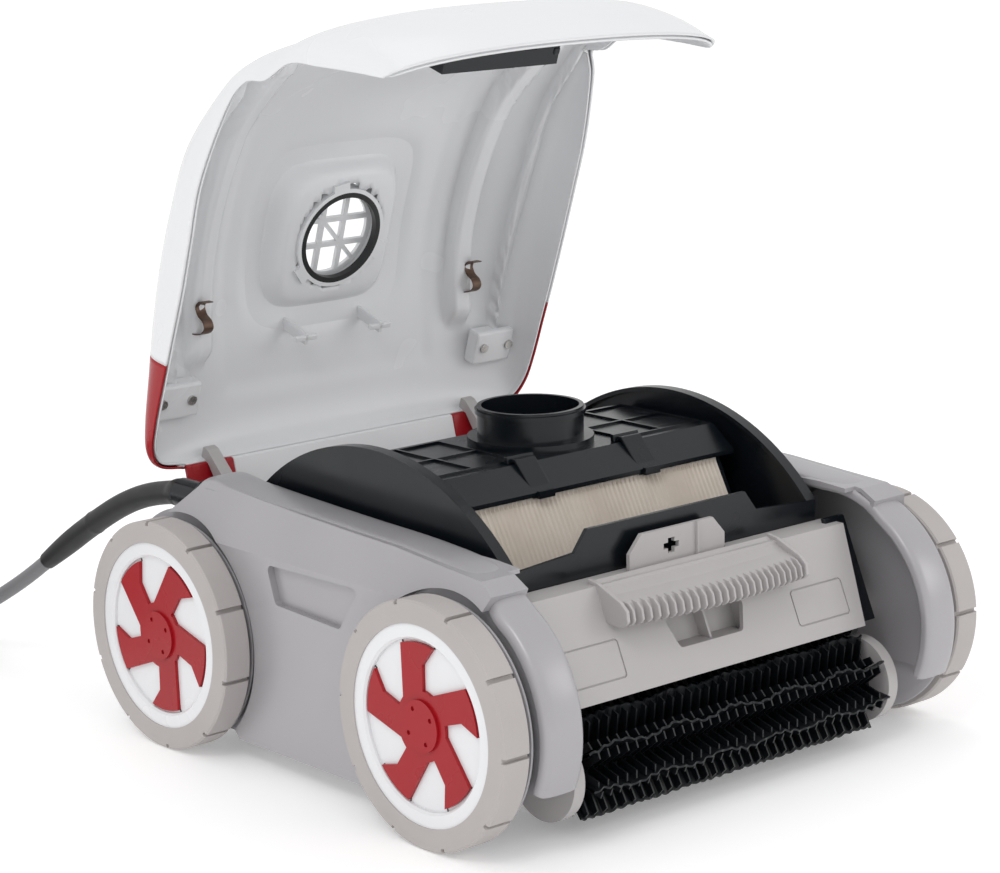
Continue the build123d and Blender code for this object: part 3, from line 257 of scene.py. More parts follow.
# turned stainless steel
stainless = {
    "colours": ("#bdbbb8", "#cbc9c6"),
    "roughness": (0.22, 0.36),
    "driftMm": 6.0,
    "grainMm": 0.5,
    "bump": 0.2,
    "shader": {"Metallic": 1.0},
}
# tarnished spring steel, brown where the film is thickest
springSteel = {
    "colours": ("#4a3a31", "#7a6355"),
    "roughness": (0.35, 0.55),
    "driftMm": 5.0,
    "grainMm": 0.8,
    "bump": 0.3,
    "shader": {"Metallic": 0.7},
}
# spunbonded filter cloth, cream, with matted fibres
filterCloth = {
    "colours": ("#cfc5b9", "#dbd2c8"),
    "roughness": (0.85, 0.95),
    "driftMm": 12.0,
    "grainMm": 0.7,
    "bump": 0.5,
    "shader": {"IOR": 1.4, "Sheen Weight": 0.2},
}

finishes = {
    "silver_grey_abs": moulded("silverPaintedAbs", silverAbs),
    "warm_grey_abs": moulded("warmGreyAbs", warmAbs),
    "white_abs": moulded("glossyWhiteAbs", whiteAbs),
    "red_abs": moulded("glossyRedAbs", redAbs),
    "black_pp": moulded("blackPolypropylene", blackPp),
    "grey_tpe": moulded("treadRubber", treadRubber),
    "black_pvc": moulded("brushPvc", brushPvc),
    "pleated_paper": moulded("spunbondFilterCloth", filterCloth),
    "black_rubber": moulded("sealRubber", sealRubber),
    "stainless": moulded("turnedStainless", stainless),
    "brown_spring_steel": moulded("tarnishedSpringSteel", springSteel),
    "grey_cable_jacket": moulded("floatingCableJacket", cableJacket),
    "acetal": moulded("naturalAcetal", acetal),
}
for part in frame["record"]["subparts"]:
    mesh = nodes[part["node"]].data
    mesh.materials.clear()
    mesh.materials.append(finishes[part["material_slot"]])
# the outlet ring is moulded in the white of the hood it sits in
nodes["outlet_ring"].data.materials[0] = finishes["white_abs"]
print("materials:", len(finishes))


# ---- mesh helpers ----
def newPiece(name, points, faces, slot, body, smooth=True):
    # a mesh from arrays, placed by its points, riding on one body
    mesh = bpy.data.meshes.new(name)
    mesh.from_pydata(np.asarray(points, float).tolist(), [], np.asarray(faces, int).tolist())
    mesh.validate()
    mesh.polygons.foreach_set("use_smooth", [smooth] * len(mesh.polygons))
    mesh.materials.append(finishes[slot])
    piece = bpy.data.objects.new(name, mesh)
    bpy.context.scene.collection.objects.link(piece)
    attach(piece, body)
    return piece


def gridFaces(rows, columns, closeRows=False, closeColumns=False):
    # quads between neighbours of a rows x columns grid; a closed way wraps round
    r = np.arange(rows if closeRows else rows - 1)[:, None]
    c = np.arange(columns if closeColumns else columns - 1)[None, :]
    a = r * columns + c
    b = r * columns + (c + 1) % columns
    d = (r + 1) % rows * columns + c
    e = (r + 1) % rows * columns + (c + 1) % columns
    return np.stack([a, b, e, d], axis=-1).reshape(-1, 4)


def tubeAlong(line, radii, around):
    # circles of the given radii across a line: a side vector kept level, and their cross product; the
    # line's first and last points repeat, so that its ends close flat
    way = np.gradient(line, axis=0)
    way[0], way[-1], way[-2] = way[1], way[-3], way[-3]
    way /= np.linalg.norm(way, axis=1)[:, None]
    across = np.cross(way, (0, 0, 1.0))
    across /= np.linalg.norm(across, axis=1)[:, None]
    up = np.cross(across, way)
    turn = np.linspace(0, 2 * np.pi, around, endpoint=False)
    ring = np.cos(turn)[None, :, None] * across[:, None] + np.sin(turn)[None, :, None] * up[:, None]
    return (line[:, None] + np.asarray(radii)[:, None, None] * ring).reshape(-1, 3)


# ---- cable ----
cable = {
    "diameter": 0.011,
    "sleeveRoute": [
        (-0.166, 0.180, 0.166),
        (-0.1665, 0.208, 0.162),
        (-0.169, 0.246, 0.149),
        (-0.173, 0.287, 0.1255),
        (-0.178, 0.326, 0.099),
    ],
    "route": [
        (-0.1835, 0.362, 0.073),
        (-0.189, 0.402, 0.049),
        (-0.193, 0.444, 0.0275),
        (-0.194, 0.488, 0.011),
        (-0.1915, 0.528, 0.0075),
    ],
    "coilCentre": (-0.317, 0.522),
    "coilRadius": 0.099,
    "layers": 5,
    "turns": 23,
    "turnPoints": 16,
    "coilLow": 0.0016,
    "coilStart": 13.6,  # degrees
    "jog": 0.12,  # share of a turn in which the cable steps over to its next place
    "length": 14.8,
}


def coilPoints(look):
    # each turn keeps one place in the bundle and steps to the next over the jog at its start;
    # places run inwards in one layer and outwards in the next
    diameter, count = look["diameter"], look["layers"]
    places = []
    for layer in range(count):
        columns = range(count) if layer % 2 == 0 else range(count - 1, -1, -1)
        places += [(column, layer) for column in columns]
    places = np.array(places[: look["turns"] + 1], float)
    turn = np.linspace(0, look["turns"], look["turns"] * look["turnPoints"] + 1)
    whole = np.minimum(turn.astype(int), look["turns"] - 1)
    before = np.maximum(whole - 1, 0)
    step = np.clip((turn - whole) / look["jog"], 0, 1)
    step = np.where(whole == 0, 1.0, step * step * (3 - 2 * step))
    place = places[before] + (places[whole] - places[before]) * step[:, None]
    outer = look["coilRadius"] + (count - 1) * diameter / 2
    # control points of an order 3 spline stand out by 1/cos of half the step between them
    stand = 1 / (0.5 + 0.5 * math.cos(math.pi / look["turnPoints"])) ** 2
    wander = 0.0008 * np.sin(turn * 2.3) + 0.0006 * np.sin(turn * 9.1 + 1.0)
    radius = (outer - place[:, 0] * diameter) * stand + wander
    angle = 2 * np.pi * turn + math.radians(look["coilStart"])
    z = look["coilLow"] + (place[:, 1] + 0.5) * diameter
    x = look["coilCentre"][0] + radius * np.cos(angle)
    y = look["coilCentre"][1] + radius * np.sin(angle)
    return np.stack([x, y, z], axis=1)


def makeCable(look):
    points = np.array(look["sleeveRoute"] + look["route"])
    points = np.concatenate([points, coilPoints(look)])
    curve = bpy.data.curves.new("floating_cable", "CURVE")
    curve.dimensions = "3D"
    curve.resolution_u = 4
    curve.bevel_depth = look["diameter"] / 2
    curve.bevel_resolution = 3
    curve.use_fill_caps = True
    spline = curve.splines.new("NURBS")
    spline.points.add(len(points) - 1)
    spline.points.foreach_set("co", np.concatenate([points, np.ones((len(points), 1))], axis=1).ravel())
    spline.order_u = 3
    spline.use_endpoint_u = True
    curve.materials.append(finishes["grey_cable_jacket"])
    piece = bpy.data.objects.new("floating_cable", curve)
    bpy.context.scene.collection.objects.link(piece)
    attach(piece, "chassis")
    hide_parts("cable", "cable_coil")
    return piece


sleeve = {
    "radius": 0.0085,
    "endRadius": 0.0066,
    "collarRadius": 0.0100,
    "taper": 0.22,  # share of the length over which it narrows
    "taperPower": 1.5,
    "collarShare": 0.05,
    "ridge": (0.0004, 0.62, 0.012),  # height, and place and width as shares of the length
    "short": 0.028,  # how far it stops short of its route's end
    "lip": 0.0006,
    "closed": 0.001,  # radius at which the ends are closed
    "around": 28,
    "steps": 120,
}


def makeSleeve(look):
    # a tube on the route's own spline, flared by a collar at the gland and narrowing at the far end
    bare = bpy.data.curves.new("route", "CURVE")
    bare.dimensions = "3D"
    spline = bare.splines.new("NURBS")
    route = np.array(cable["sleeveRoute"] + cable["route"][:1])
    spline.points.add(len(route) - 1)
    spline.points.foreach_set("co", np.concatenate([route, np.ones((len(route), 1))], axis=1).ravel())
    spline.order_u = 3
    spline.use_endpoint_u = True
    holder = bpy.data.objects.new("route", bare)
    mesh = bpy.data.meshes.new_from_object(holder)
    line = np.array([v.co for v in mesh.vertices])
    bpy.data.objects.remove(holder)
    along = np.concatenate([[0], np.cumsum(np.linalg.norm(np.diff(line, axis=0), axis=1))])
    end = along[-1] - look["short"]
    at = np.linspace(0, end, look["steps"])
    line = np.stack([np.interp(at, along, line[:, k]) for k in range(3)], axis=1)
    share = at / end
    narrow = np.clip((share - 1 + look["taper"]) / look["taper"], 0, 1)
    radii = look["radius"] + (look["endRadius"] - look["radius"]) * narrow ** look["taperPower"]
    radii = radii + (look["collarRadius"] - look["radius"]) * np.exp(-((share / look["collarShare"]) ** 4))
    height, place, width = look["ridge"]
    radii = radii + height * np.exp(-(((share - place) / width) ** 2))
    ends = np.concatenate([[look["closed"]], radii, [radii[-1] - look["lip"], look["closed"]]])
    line = np.concatenate([line[:1], line, line[-1:], line[-1:]])
    points = tubeAlong(line, ends, look["around"])
    faces = gridFaces(len(ends), look["around"], closeColumns=True)[:, ::-1]
    piece = newPiece("cable_rubber_sleeve", points, faces, "black_rubber", "chassis")
    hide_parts("cable_sleeve")
    return piece


cablePiece = makeCable(cable)
sleevePiece = makeSleeve(sleeve)
print("cable:", cable["turns"], "turns")


# ---- shapes shared by the pieces ----
def throughRows(rows, steps):
    # a smooth line through every row of a table: Catmull-Rom, the tangent at a row is half the step
    # between its neighbours
    rows = np.asarray(rows, float)
    ends = np.vstack([2 * rows[0] - rows[1], rows, 2 * rows[-1] - rows[-2]])
    t = np.linspace(0, len(rows) - 1, steps)
    i = np.minimum(t.astype(int), len(rows) - 2)
    f = (t - i)[:, None]
    a, b, c, d = ends[i], ends[i + 1], ends[i + 2], ends[i + 3]
    return 0.5 * (2 * b + (c - a) * f + (2 * a - 5 * b + 4 * c - d) * f**2 + (3 * b - a - 3 * c + d) * f**3)


def smoothStep(low, high, value):
    # 0 below low, 1 above high, 3t^2 - 2t^3 between
    t = np.clip((value - low) / (high - low), 0, 1)
    return t * t * (3 - 2 * t)


def outward(piece):
    # turns every face of a closed mesh to point outwards
    work = bmesh.new()
    work.from_mesh(piece.data)
    bmesh.ops.recalc_face_normals(work, faces=work.faces)
    work.to_mesh(piece.data)
    work.free()


def addSolidify(piece, thickness):
    # a wall of even thickness, grown against the face normals
    wall = piece.modifiers.new("wall", "SOLIDIFY")
    wall.thickness, wall.offset, wall.use_even_offset = thickness, -1.0, True
    return wall


def addBevel(piece, width, segments=2):
    # rounds the edges that turn by more than 35 degrees
    bevel = piece.modifiers.new("bevel", "BEVEL")
    bevel.width, bevel.segments, bevel.limit_method = width, segments, "ANGLE"
    bevel.angle_limit = math.radians(35)
    bevel.harden_normals = False
    return bevel


def slabAcross(outline, lowX, highX):
    # a closed (y, z) outline carried from lowX to highX: n corners on each side, a quad per edge, two caps
    outline = np.asarray(outline, float)
    n = len(outline)
    area = np.sum(outline[:, 0] * np.roll(outline[:, 1], -1) - np.roll(outline[:, 0], -1) * outline[:, 1])
    if area < 0:
        outline = outline[::-1]
    points = np.concatenate([np.column_stack([np.full(n, x), outline]) for x in (lowX, highX)])
    around = [[i, (i + 1) % n, n + (i + 1) % n, n + i] for i in range(n)]
    return points, [face[::-1] for face in around], [list(range(n))[::-1], list(range(n, 2 * n))]


def newSolid(name, parts, slot, body, bevel=0.0):
    # several slabs or boxes in one piece, outward faces, edges rounded by the bevel
    vertices, polygons = [], []
    for points, quads, caps in parts:
        start = len(vertices)
        vertices += np.asarray(points, float).tolist()
        polygons += [[start + i for i in face] for face in list(quads) + list(caps)]
    mesh = bpy.data.meshes.new(name)
    mesh.from_pydata(vertices, [], polygons)
    work = bmesh.new()
    work.from_mesh(mesh)
    bmesh.ops.recalc_face_normals(work, faces=work.faces)
    work.to_mesh(mesh)
    work.free()
    mesh.materials.append(finishes[slot])
    piece = bpy.data.objects.new(name, mesh)
    bpy.context.scene.collection.objects.link(piece)
    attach(piece, body)
    if bevel:
        addBevel(piece, bevel)
    return piece


# ---- hood, drawn closed and swung up about its hinge ----
hood = {
    "hinge": (0.164, 0.137),
    "openAngle": 72.0,
    "rows": 152,
    "columns": 215,
    "shoulderShare": 0.62,  # share of a half section's columns before its squarest point
    "skin": 0.0016,
    "linerDepth": 0.0018,
    "liner": 0.0014,
    # front lip to rear wall, in mm: crown y z, free edge half-width y z, squareness of the section
    "stations": [
        (-238, 27, 147, -211, 52, 2.2),
        (-241, 62, 149, -205, 78, 2.5),
        (-236, 100, 151, -196, 112, 2.7),
        (-220, 134, 153, -188, 139, 2.8),
        (-200, 164, 155.5, -169, 158, 2.9),
        (-184, 184, 159, -161, 174.5, 3.0),
        (-163, 205, 169, -140, 178, 3.0),
        (-115, 235, 178.5, -88, 181.5, 3.1),
        (-60, 249.5, 179, -42, 182, 3.1),
        (-5, 253.5, 179, -5, 182.5, 3.1),
        (40, 247, 179.5, 34, 184.2, 3.1),
        (76, 235, 179.5, 66, 186, 3.2),
        (110, 222, 179.5, 98, 187.6, 3.4),
        (131, 210, 177, 121, 188.8, 3.8),
        (140, 200, 167, 136, 189.4, 4.6),
        (142, 191, 146, 141, 189.6, 6.0),
    ],
    "trimFrom": 10.55,  # station at which the red corner begins
    "trimSection": 0.60,
    "outlet": (0.0, -0.004),
    "outletRadius": 0.0378,
    "bossHalf": 0.047,
    "bossZ": 0.2362,
}


def openHood(points):
    # turns closed points about the hinge line by the opening angle
    turn = math.radians(hood["openAngle"])
    hingeY, hingeZ = hood["hinge"]
    points = np.array(points, float)
    y, z = points[..., 1] - hingeY, points[..., 2] - hingeZ
    points[..., 1] = hingeY + y * math.cos(turn) + z * math.sin(turn)
    points[..., 2] = hingeZ - y * math.sin(turn) + z * math.cos(turn)
    return points


def hoodGrid(look, depth):
    # each section is a superellipse from the free edge over the crown: |x/a|^n + |k|^n = 1, where k runs
    # from the edge (0) to the crown (1); the whole is sunk along its own normals by depth
    table = throughRows(look["stations"], look["rows"])
    crown, edge = table[:, None, 0:2] * mm, table[:, None, 3:5] * mm
    half, square = table[:, None, 2] * mm, table[:, None, 5]
    q = np.linspace(-1, 1, look["columns"])[None, :]
    share = look["shoulderShare"]
    corner = 0.5 ** (1 / square)
    s1 = np.minimum(np.abs(q) / share, 1) * corner
    k2 = np.minimum((1 - np.abs(q)) / (1 - share), 1) * corner
    inner = np.abs(q) <= share
    s = np.where(inner, s1, (1 - np.minimum(k2, corner) ** square) ** (1 / square))
    k = np.where(inner, (1 - s1**square) ** (1 / square), k2)
    x = np.sign(q) * half * s
    yz = edge + (crown - edge) * k[..., None]
    grid = np.concatenate([x[..., None], yz], axis=2)
    normal = np.cross(np.gradient(grid, axis=1), np.gradient(grid, axis=0))
    normal /= np.maximum(np.linalg.norm(normal, axis=2), 1e-12)[..., None]
    normal *= np.sign(normal[look["rows"] // 2, look["columns"] // 2, 2])
    return grid - normal * depth, normal


def linerRelief(grid):
    # how far the liner stands in from the shell: two posts beside the panel, an arched rib outside each,
    # and a shallow swage across the lip
    x, y = np.abs(grid[..., 0]) / mm, grid[..., 1] / mm
    z = grid[..., 2] / mm
    post = smoothStep(114, 117, x) * (1 - smoothStep(130, 133, x)) * smoothStep(-190, -172, y)
    post = post * (1 - smoothStep(66, 84, y))
    archX = 149 + 15 * np.cos(np.pi * (y + 45) / 330)
    arch = np.exp(-(((x - archX) / 1.9) ** 4)) * smoothStep(-176, -150, y) * (1 - smoothStep(84, 100, y))
    swage = np.exp(-(((z - 74) / 5.0) ** 2)) * (y < -150) * (1 - smoothStep(84, 100, x))
    floorStep = (1 - smoothStep(92, 104, x)) * smoothStep(-176, -160, y) * (1 - smoothStep(96, 112, y))
    return (12.0 * post + 10.0 * arch + 3.0 * swage - 1.2 * floorStep + 1.2) * mm


def withoutOutlet(grid, faces, look):
    # drops the faces over the outlet and draws the ring of points round the hole onto its circle
    flat = grid.reshape(-1, 3)
    reach = np.hypot(flat[:, 0] - look["outlet"][0], flat[:, 1] - look["outlet"][1])
    top = flat[:, 2] > 0.2
    kept = ~(((reach < look["outletRadius"]) & top)[faces].any(axis=1))
    faces = faces[kept]
    near = (reach < look["outletRadius"] + 0.0026) & top
    ratio = np.where(near, (look["outletRadius"] + 0.0002) / np.maximum(reach, 1e-9), 1.0)
    flat[:, 0] = look["outlet"][0] + (flat[:, 0] - look["outlet"][0]) * ratio
    flat[:, 1] = look["outlet"][1] + (flat[:, 1] - look["outlet"][1]) * ratio
    return flat, faces


def hoodPart(name, flat, faces, slot, thickness):
    used, faces = np.unique(faces, return_inverse=True)
    piece = newPiece(name, openHood(flat[used]), faces.reshape(-1, 4), slot, "hood")
    addSolidify(piece, thickness).use_even_offset = False
    return piece


def makeHood(look):
    rows, columns = look["rows"], look["columns"]
    faces = gridFaces(rows, columns)
    row, column = faces[:, 0] // columns, faces[:, 0] % columns
    trimRow = int(look["trimFrom"] / (len(look["stations"]) - 1) * (rows - 1))
    section = np.abs((column + 0.5) / (columns - 1) * 2 - 1)
    trim = (row >= trimRow) & (section > look["trimSection"])
    left = column < columns // 2
    outer = hoodGrid(look, 0.0)[0]
    flat = outer.reshape(-1, 3).copy()
    shellFlat, shellFaces = withoutOutlet(outer.copy(), faces[~trim], look)
    shell = hoodPart("hood_outer_shell", shellFlat, shellFaces, "white_abs", look["skin"])
    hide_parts("hood_shell")
    for side, mask in (("left", left), ("right", ~left)):
        piece = hoodPart(f"{side}_red_corner", flat, faces[trim & mask], "red_abs", look["skin"])
        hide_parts(f"{side}_hood_trim")
    # the liner: the same surface sunk behind the shell, pushed in by its relief, down to the outlet's boss
    inner, normal = hoodGrid(look, look["linerDepth"])
    inner = inner - normal * linerRelief(inner)[..., None]
    across = np.abs(inner[..., 0] - look["outlet"][0]) / look["bossHalf"]
    along = np.abs(inner[..., 1] - look["outlet"][1]) / look["bossHalf"]
    reach = (across**5 + along**5) ** 0.2
    boss = (1 - smoothStep(0.97, 1.30, reach)) * (inner[..., 2] > 0.2)
    dish = 0.0035 * (1 - smoothStep(1.30, 1.75, reach)) * (inner[..., 2] > 0.2)
    inner[..., 2] += np.where(boss > 0, 0, dish)
    inner[..., 2] = np.where(
        boss > 0, inner[..., 2] * (1 - boss) + look["bossZ"] * boss + dish * (1 - boss), inner[..., 2]
    )
    linerFlat, linerFaces = withoutOutlet(inner, faces, look)
    hoodPart("hood_inner_liner", linerFlat, linerFaces, "white_abs", look["liner"])


makeHood(hood)

skirt = {
    "outline": [(138, 190), (141, 190), (158, 178.5), (172, 161), (169.5, 159.5), (155.5, 176), (138, 187)],
    "half": 145.0,
    "redFrom": 104.0,
}


def makeSkirt(look):
    outline = np.array(look["outline"]) * mm
    spans = [
        ("hood_rear_skirt", -look["redFrom"], look["redFrom"], "white_abs"),
        ("left_skirt_corner", -look["half"], -look["redFrom"] - 0.1, "red_abs"),
        ("right_skirt_corner", look["redFrom"] + 0.1, look["half"], "red_abs"),
    ]
    for name, low, high, slot in spans:
        points, quads, caps = slabAcross(outline, low * mm, high * mm)
        newSolid(name, [(openHood(points), quads, caps)], slot, "hood", 0.0008)


makeSkirt(skirt)


def boxPart(low, high):
    # the six faces of a box between two corners
    outline = [(low[1], low[2]), (high[1], low[2]), (high[1], high[2]), (low[1], high[2])]
    return slabAcross(outline, low[0], high[0])


hoodDetail = {
    "hookX": (-35.0, 35.0),
    "hookY": (59.0, 68.0),
    "hookLow": 210.0,
    "hookTop": 240.0,
    "padY": (80.0, 107.0),
    "pads": [((130.0, 150.0), (203.0, 215.0)), ((146.0, 167.5), (203.0, 209.5))],  # x range, z range
}


def makeHoodDetail(look):
    # two T-shaped hooks that hang from the crown, and the corner pads that the screws go into
    hooks = []
    for x in look["hookX"]:
        stem = [(x - 1.6, look["hookY"][0], look["hookLow"]), (x + 1.6, look["hookY"][1], look["hookTop"])]
        bar = [
            (x - 10.0, look["hookY"][0] + 2, look["hookLow"]),
            (x + 10.0, look["hookY"][0] + 6, look["hookLow"] + 4),
        ]
        for low, high in (stem, bar):
            points, quads, caps = boxPart(np.array(low) * mm, np.array(high) * mm)
            hooks.append((openHood(points), quads, caps))
    newSolid("hood_inner_hooks", hooks, "white_abs", "hood", 0.0009)
    pads = []
    for side in (-1, 1):
        for (nearX, farX), (lowZ, highZ) in look["pads"]:
            low, high = sorted((side * nearX, side * farX))
            points, quads, caps = boxPart(
                np.array((low, look["padY"][0], lowZ)) * mm,
                np.array((high, look["padY"][1], highZ)) * mm,
            )
            pads.append((openHood(points), quads, caps))
    piece = newSolid("hood_corner_pads", pads, "white_abs", "hood", 0.002)
    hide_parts("screw_bosses")


makeHoodDetail(hoodDetail)
print("hood: shell, liner, corners")


# ---- brush roller ----
brush = {
    "axis": (-0.178, 0.041),
    "half": 0.1375,
    "sleeveRadius": 0.0155,
    "sleeveBore": 0.0132,
    "sleeveStand": 0.0004,
    "sleeveAround": 40,
    "tipRadius": 0.0352,
    "rows": 8,
    "start": 11.0,  # degrees
    "wave": 0.052,
    "waveDepth": 0.0019,
    "thickness": 0.0015,
    "alongSteps": 270,
    "upSteps": 7,
    "tabPitch": 0.0082,
    "tabReach": 0.0078,
    "tabTop": (0.0172, 0.0182),  # outer and inner corner, above the sleeve
    "tabHalf": 0.0006,
    "notchDepth": 0.0011,
}


def brushPoint(look, turn, radius, sideways, x):
    # a point beside a row: out along its radius and sideways along its tangent, round the roller's axis
    y = look["axis"][0] + radius * np.cos(turn) - sideways * np.sin(turn)
    z = look["axis"][1] + radius * np.sin(turn) + sideways * np.cos(turn)
    return np.stack(np.broadcast_arrays(x, y, z), axis=-1)


def makeBrush(look):
    # each row is a blade that waves more towards its tip, with upright tabs on both faces
    x = np.linspace(-look["half"], look["half"], look["alongSteps"])[:, None]
    share = np.linspace(0, 1, look["upSteps"])[None, :]
    radius = look["sleeveRadius"] + (look["tipRadius"] - look["sleeveRadius"]) * share
    points, faces = [], []
    start = 0
    for row in range(look["rows"]):
        turn = math.radians(look["start"] + row * 360.0 / look["rows"])
        phase = row * 1.9
        swing = np.sin(2 * np.pi * x / look["wave"] + phase) + 0.35 * np.sin(x * 610 + phase * 2)
        sideways = look["waveDepth"] * (0.25 + 0.75 * share) * swing
        notch = look["notchDepth"] * (0.5 + 0.5 * np.sin(2 * np.pi * x / look["tabPitch"])) * share
        front = brushPoint(look, turn, radius - notch, sideways + look["thickness"] / 2, x)
        back = brushPoint(look, turn, radius - notch, sideways - look["thickness"] / 2, x)
        ring = np.concatenate([front, back[:, ::-1]], axis=1)
        n = ring.shape[1]
        points.append(ring.reshape(-1, 3))
        faces.append(gridFaces(look["alongSteps"], n, closeColumns=True) + start)
        start += ring.shape[0] * n
    points, faces = np.concatenate(points), np.concatenate(faces)
    piece = newPiece("brush_wavy_fins", points, faces, "black_pvc", "brush", False)
    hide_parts("brush_fins")
    # tabs: thin wedges square to the blade, one at each pitch, on alternate faces
    tabX = np.arange(-look["half"] + 0.006, look["half"] - 0.004, look["tabPitch"])
    corners, quads = [], []
    start = 0
    for row in range(look["rows"]):
        turn = math.radians(look["start"] + row * 360.0 / look["rows"])
        for hand in (-1, 1):
            r = look["sleeveRadius"] + np.array([0.0, 0.0, *look["tabTop"]])
            reachOut = hand * np.array([0.001, look["tabReach"], look["tabReach"] * 0.8, 0.001])
            for dx in (-look["tabHalf"], look["tabHalf"]):
                tabEdge = tabX[:, None] + dx + 0.002 * hand
                corners.append(brushPoint(look, turn, r[None, :], reachOut[None, :], tabEdge))
            a = np.arange(len(tabX))[:, None] * 4 + start
            b = a + len(tabX) * 4
            loop = np.arange(4)
            nextLoop = (loop + 1) % 4
            walls = np.stack([a + loop, a + nextLoop, b + nextLoop, b + loop], axis=-1).reshape(-1, 4)
            quads += [walls, a + loop[::-1], b + loop]
            start += len(tabX) * 8
    tabs = newPiece(
        "brush_tabs",
        np.concatenate([c.reshape(-1, 3) for c in corners]),
        np.concatenate(quads),
        "black_pvc",
        "brush",
        False,
    )
    outward(tabs)
    outward(piece)
    sleevePoints = []
    around = look["sleeveAround"]
    turn = np.linspace(0, 2 * np.pi, around, endpoint=False)
    bore, skin = look["sleeveBore"], look["sleeveRadius"] + look["sleeveStand"]
    profile = [(-look["half"], bore), (-look["half"], skin), (look["half"], skin), (look["half"], bore)]
    for x, r in profile:
        y = look["axis"][0] + r * np.cos(turn)
        z = look["axis"][1] + r * np.sin(turn)
        sleevePoints.append(np.stack([np.full(around, x), y, z], axis=1))
    tube = newPiece(
        "brush_rubber_sleeve",
        np.concatenate(sleevePoints),
        gridFaces(len(profile), around, closeRows=True, closeColumns=True),
        "black_pvc",
        "brush",
        False,
    )
    outward(tube)


makeBrush(brush)
print("brush:", brush["rows"], "rows")


# ---- pleated cartridges ----
pleats = {
    "halfWidth": 0.1165,
    "pitch": 0.0039,
    "depth": 0.0034,
    "lean": 0.050,  # how far the top stands in from the foot
    "back": 0.012,
    "clear": 0.0004,
    "rows": 26,
}


def makePleats(name, node, sign, look):
    # the cloth zigzags across the machine: depth times a triangle wave of the pitch, carried down the
    # cartridge's leaning face and let wander a little, as heat-set cloth does
    low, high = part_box(node)
    count = int(2 * look["halfWidth"] / look["pitch"]) * 4
    x = np.linspace(-look["halfWidth"], look["halfWidth"], count + 1)[None, :]
    down = np.linspace(0, 1, look["rows"])[:, None]
    wave = np.abs(2 * ((x / look["pitch"]) % 1.0) - 1)
    topOut, footOut = (low.y + look["lean"], low.y) if sign < 0 else (high.y - look["lean"], high.y)
    face = topOut + (footOut - topOut) * down
    wander = 0.0002 * np.sin(down * 7 + x * 90) * np.sin(down * 3.1 + x * 410)
    edge = smoothStep(0.0, 0.04, down) * (1 - smoothStep(0.96, 1.0, down))
    y = face - sign * (look["depth"] * wave * (0.35 + 0.65 * edge) + look["clear"])
    z = high.z + (low.z - high.z) * down
    xs = x + wander + 0 * down
    front = np.stack(np.broadcast_arrays(xs, y, z + 0 * x), axis=-1)
    back = front.copy()
    back[..., 1] = (face - sign * look["back"]) + 0 * x
    columns = front.shape[1]
    ring = np.concatenate([front, back[:, ::-1]], axis=1)
    faces = gridFaces(look["rows"], ring.shape[1], closeColumns=True)
    # the two ends are closed by strips between the front line and the back line
    n = ring.shape[1]
    strip = np.arange(columns - 1)
    topCap = np.stack([strip, strip + 1, n - 2 - strip, n - 1 - strip], axis=-1)
    footCap = topCap[:, ::-1] + (look["rows"] - 1) * n
    faces = np.concatenate([faces, topCap, footCap])
    piece = newPiece(name, ring.reshape(-1, 3), faces, "pleated_paper", "filter_cassette", False)
    outward(piece)
    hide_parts(node)


makePleats("front_pleated_cloth", "front_cartridge", -1, pleats)
makePleats("rear_pleated_cloth", "rear_cartridge", 1, pleats)
print("cartridges pleated")


# ---- wheel backs ----
wheelBack = {
    "profile": [  # radius, distance inside the wheel's outer face, mm
        (12.5, 29.0),
        (13.0, 30.6),
        (30.0, 30.6),
        (58.0, 29.6),
        (70.0, 27.4),
        (76.0, 26.6),
        (77.2, 25.6),
        (76.6, 24.4),
        (70.0, 24.8),
        (12.5, 26.8),
    ],
    "around": 96,
}


def makeWheelBacks(look):
    # a shallow dished disc: the profile turned about each wheel's axle
    profile = np.array(look["profile"]) * mm
    turn = np.linspace(0, 2 * np.pi, look["around"], endpoint=False)
    for corner in corners:
        low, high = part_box(f"{corner}_tyre")
        side = 1.0 if low.x > 0 else -1.0
        face = high.x if side > 0 else low.x
        middleY, middleZ = (low.y + high.y) / 2, (low.z + high.z) / 2
        x = face - side * profile[:, None, 1] + 0 * turn
        y = middleY + profile[:, None, 0] * np.cos(turn)
        z = middleZ + profile[:, None, 0] * np.sin(turn)
        points = np.stack([x, y, z], axis=-1).reshape(-1, 3)
        faces = gridFaces(len(profile), look["around"], closeRows=True, closeColumns=True)
        piece = newPiece(f"{corner}_wheel_back", points, faces, "silver_grey_abs", f"{corner}_wheel")
        outward(piece)


makeWheelBacks(wheelBack)
print("wheel backs:", len(corners))


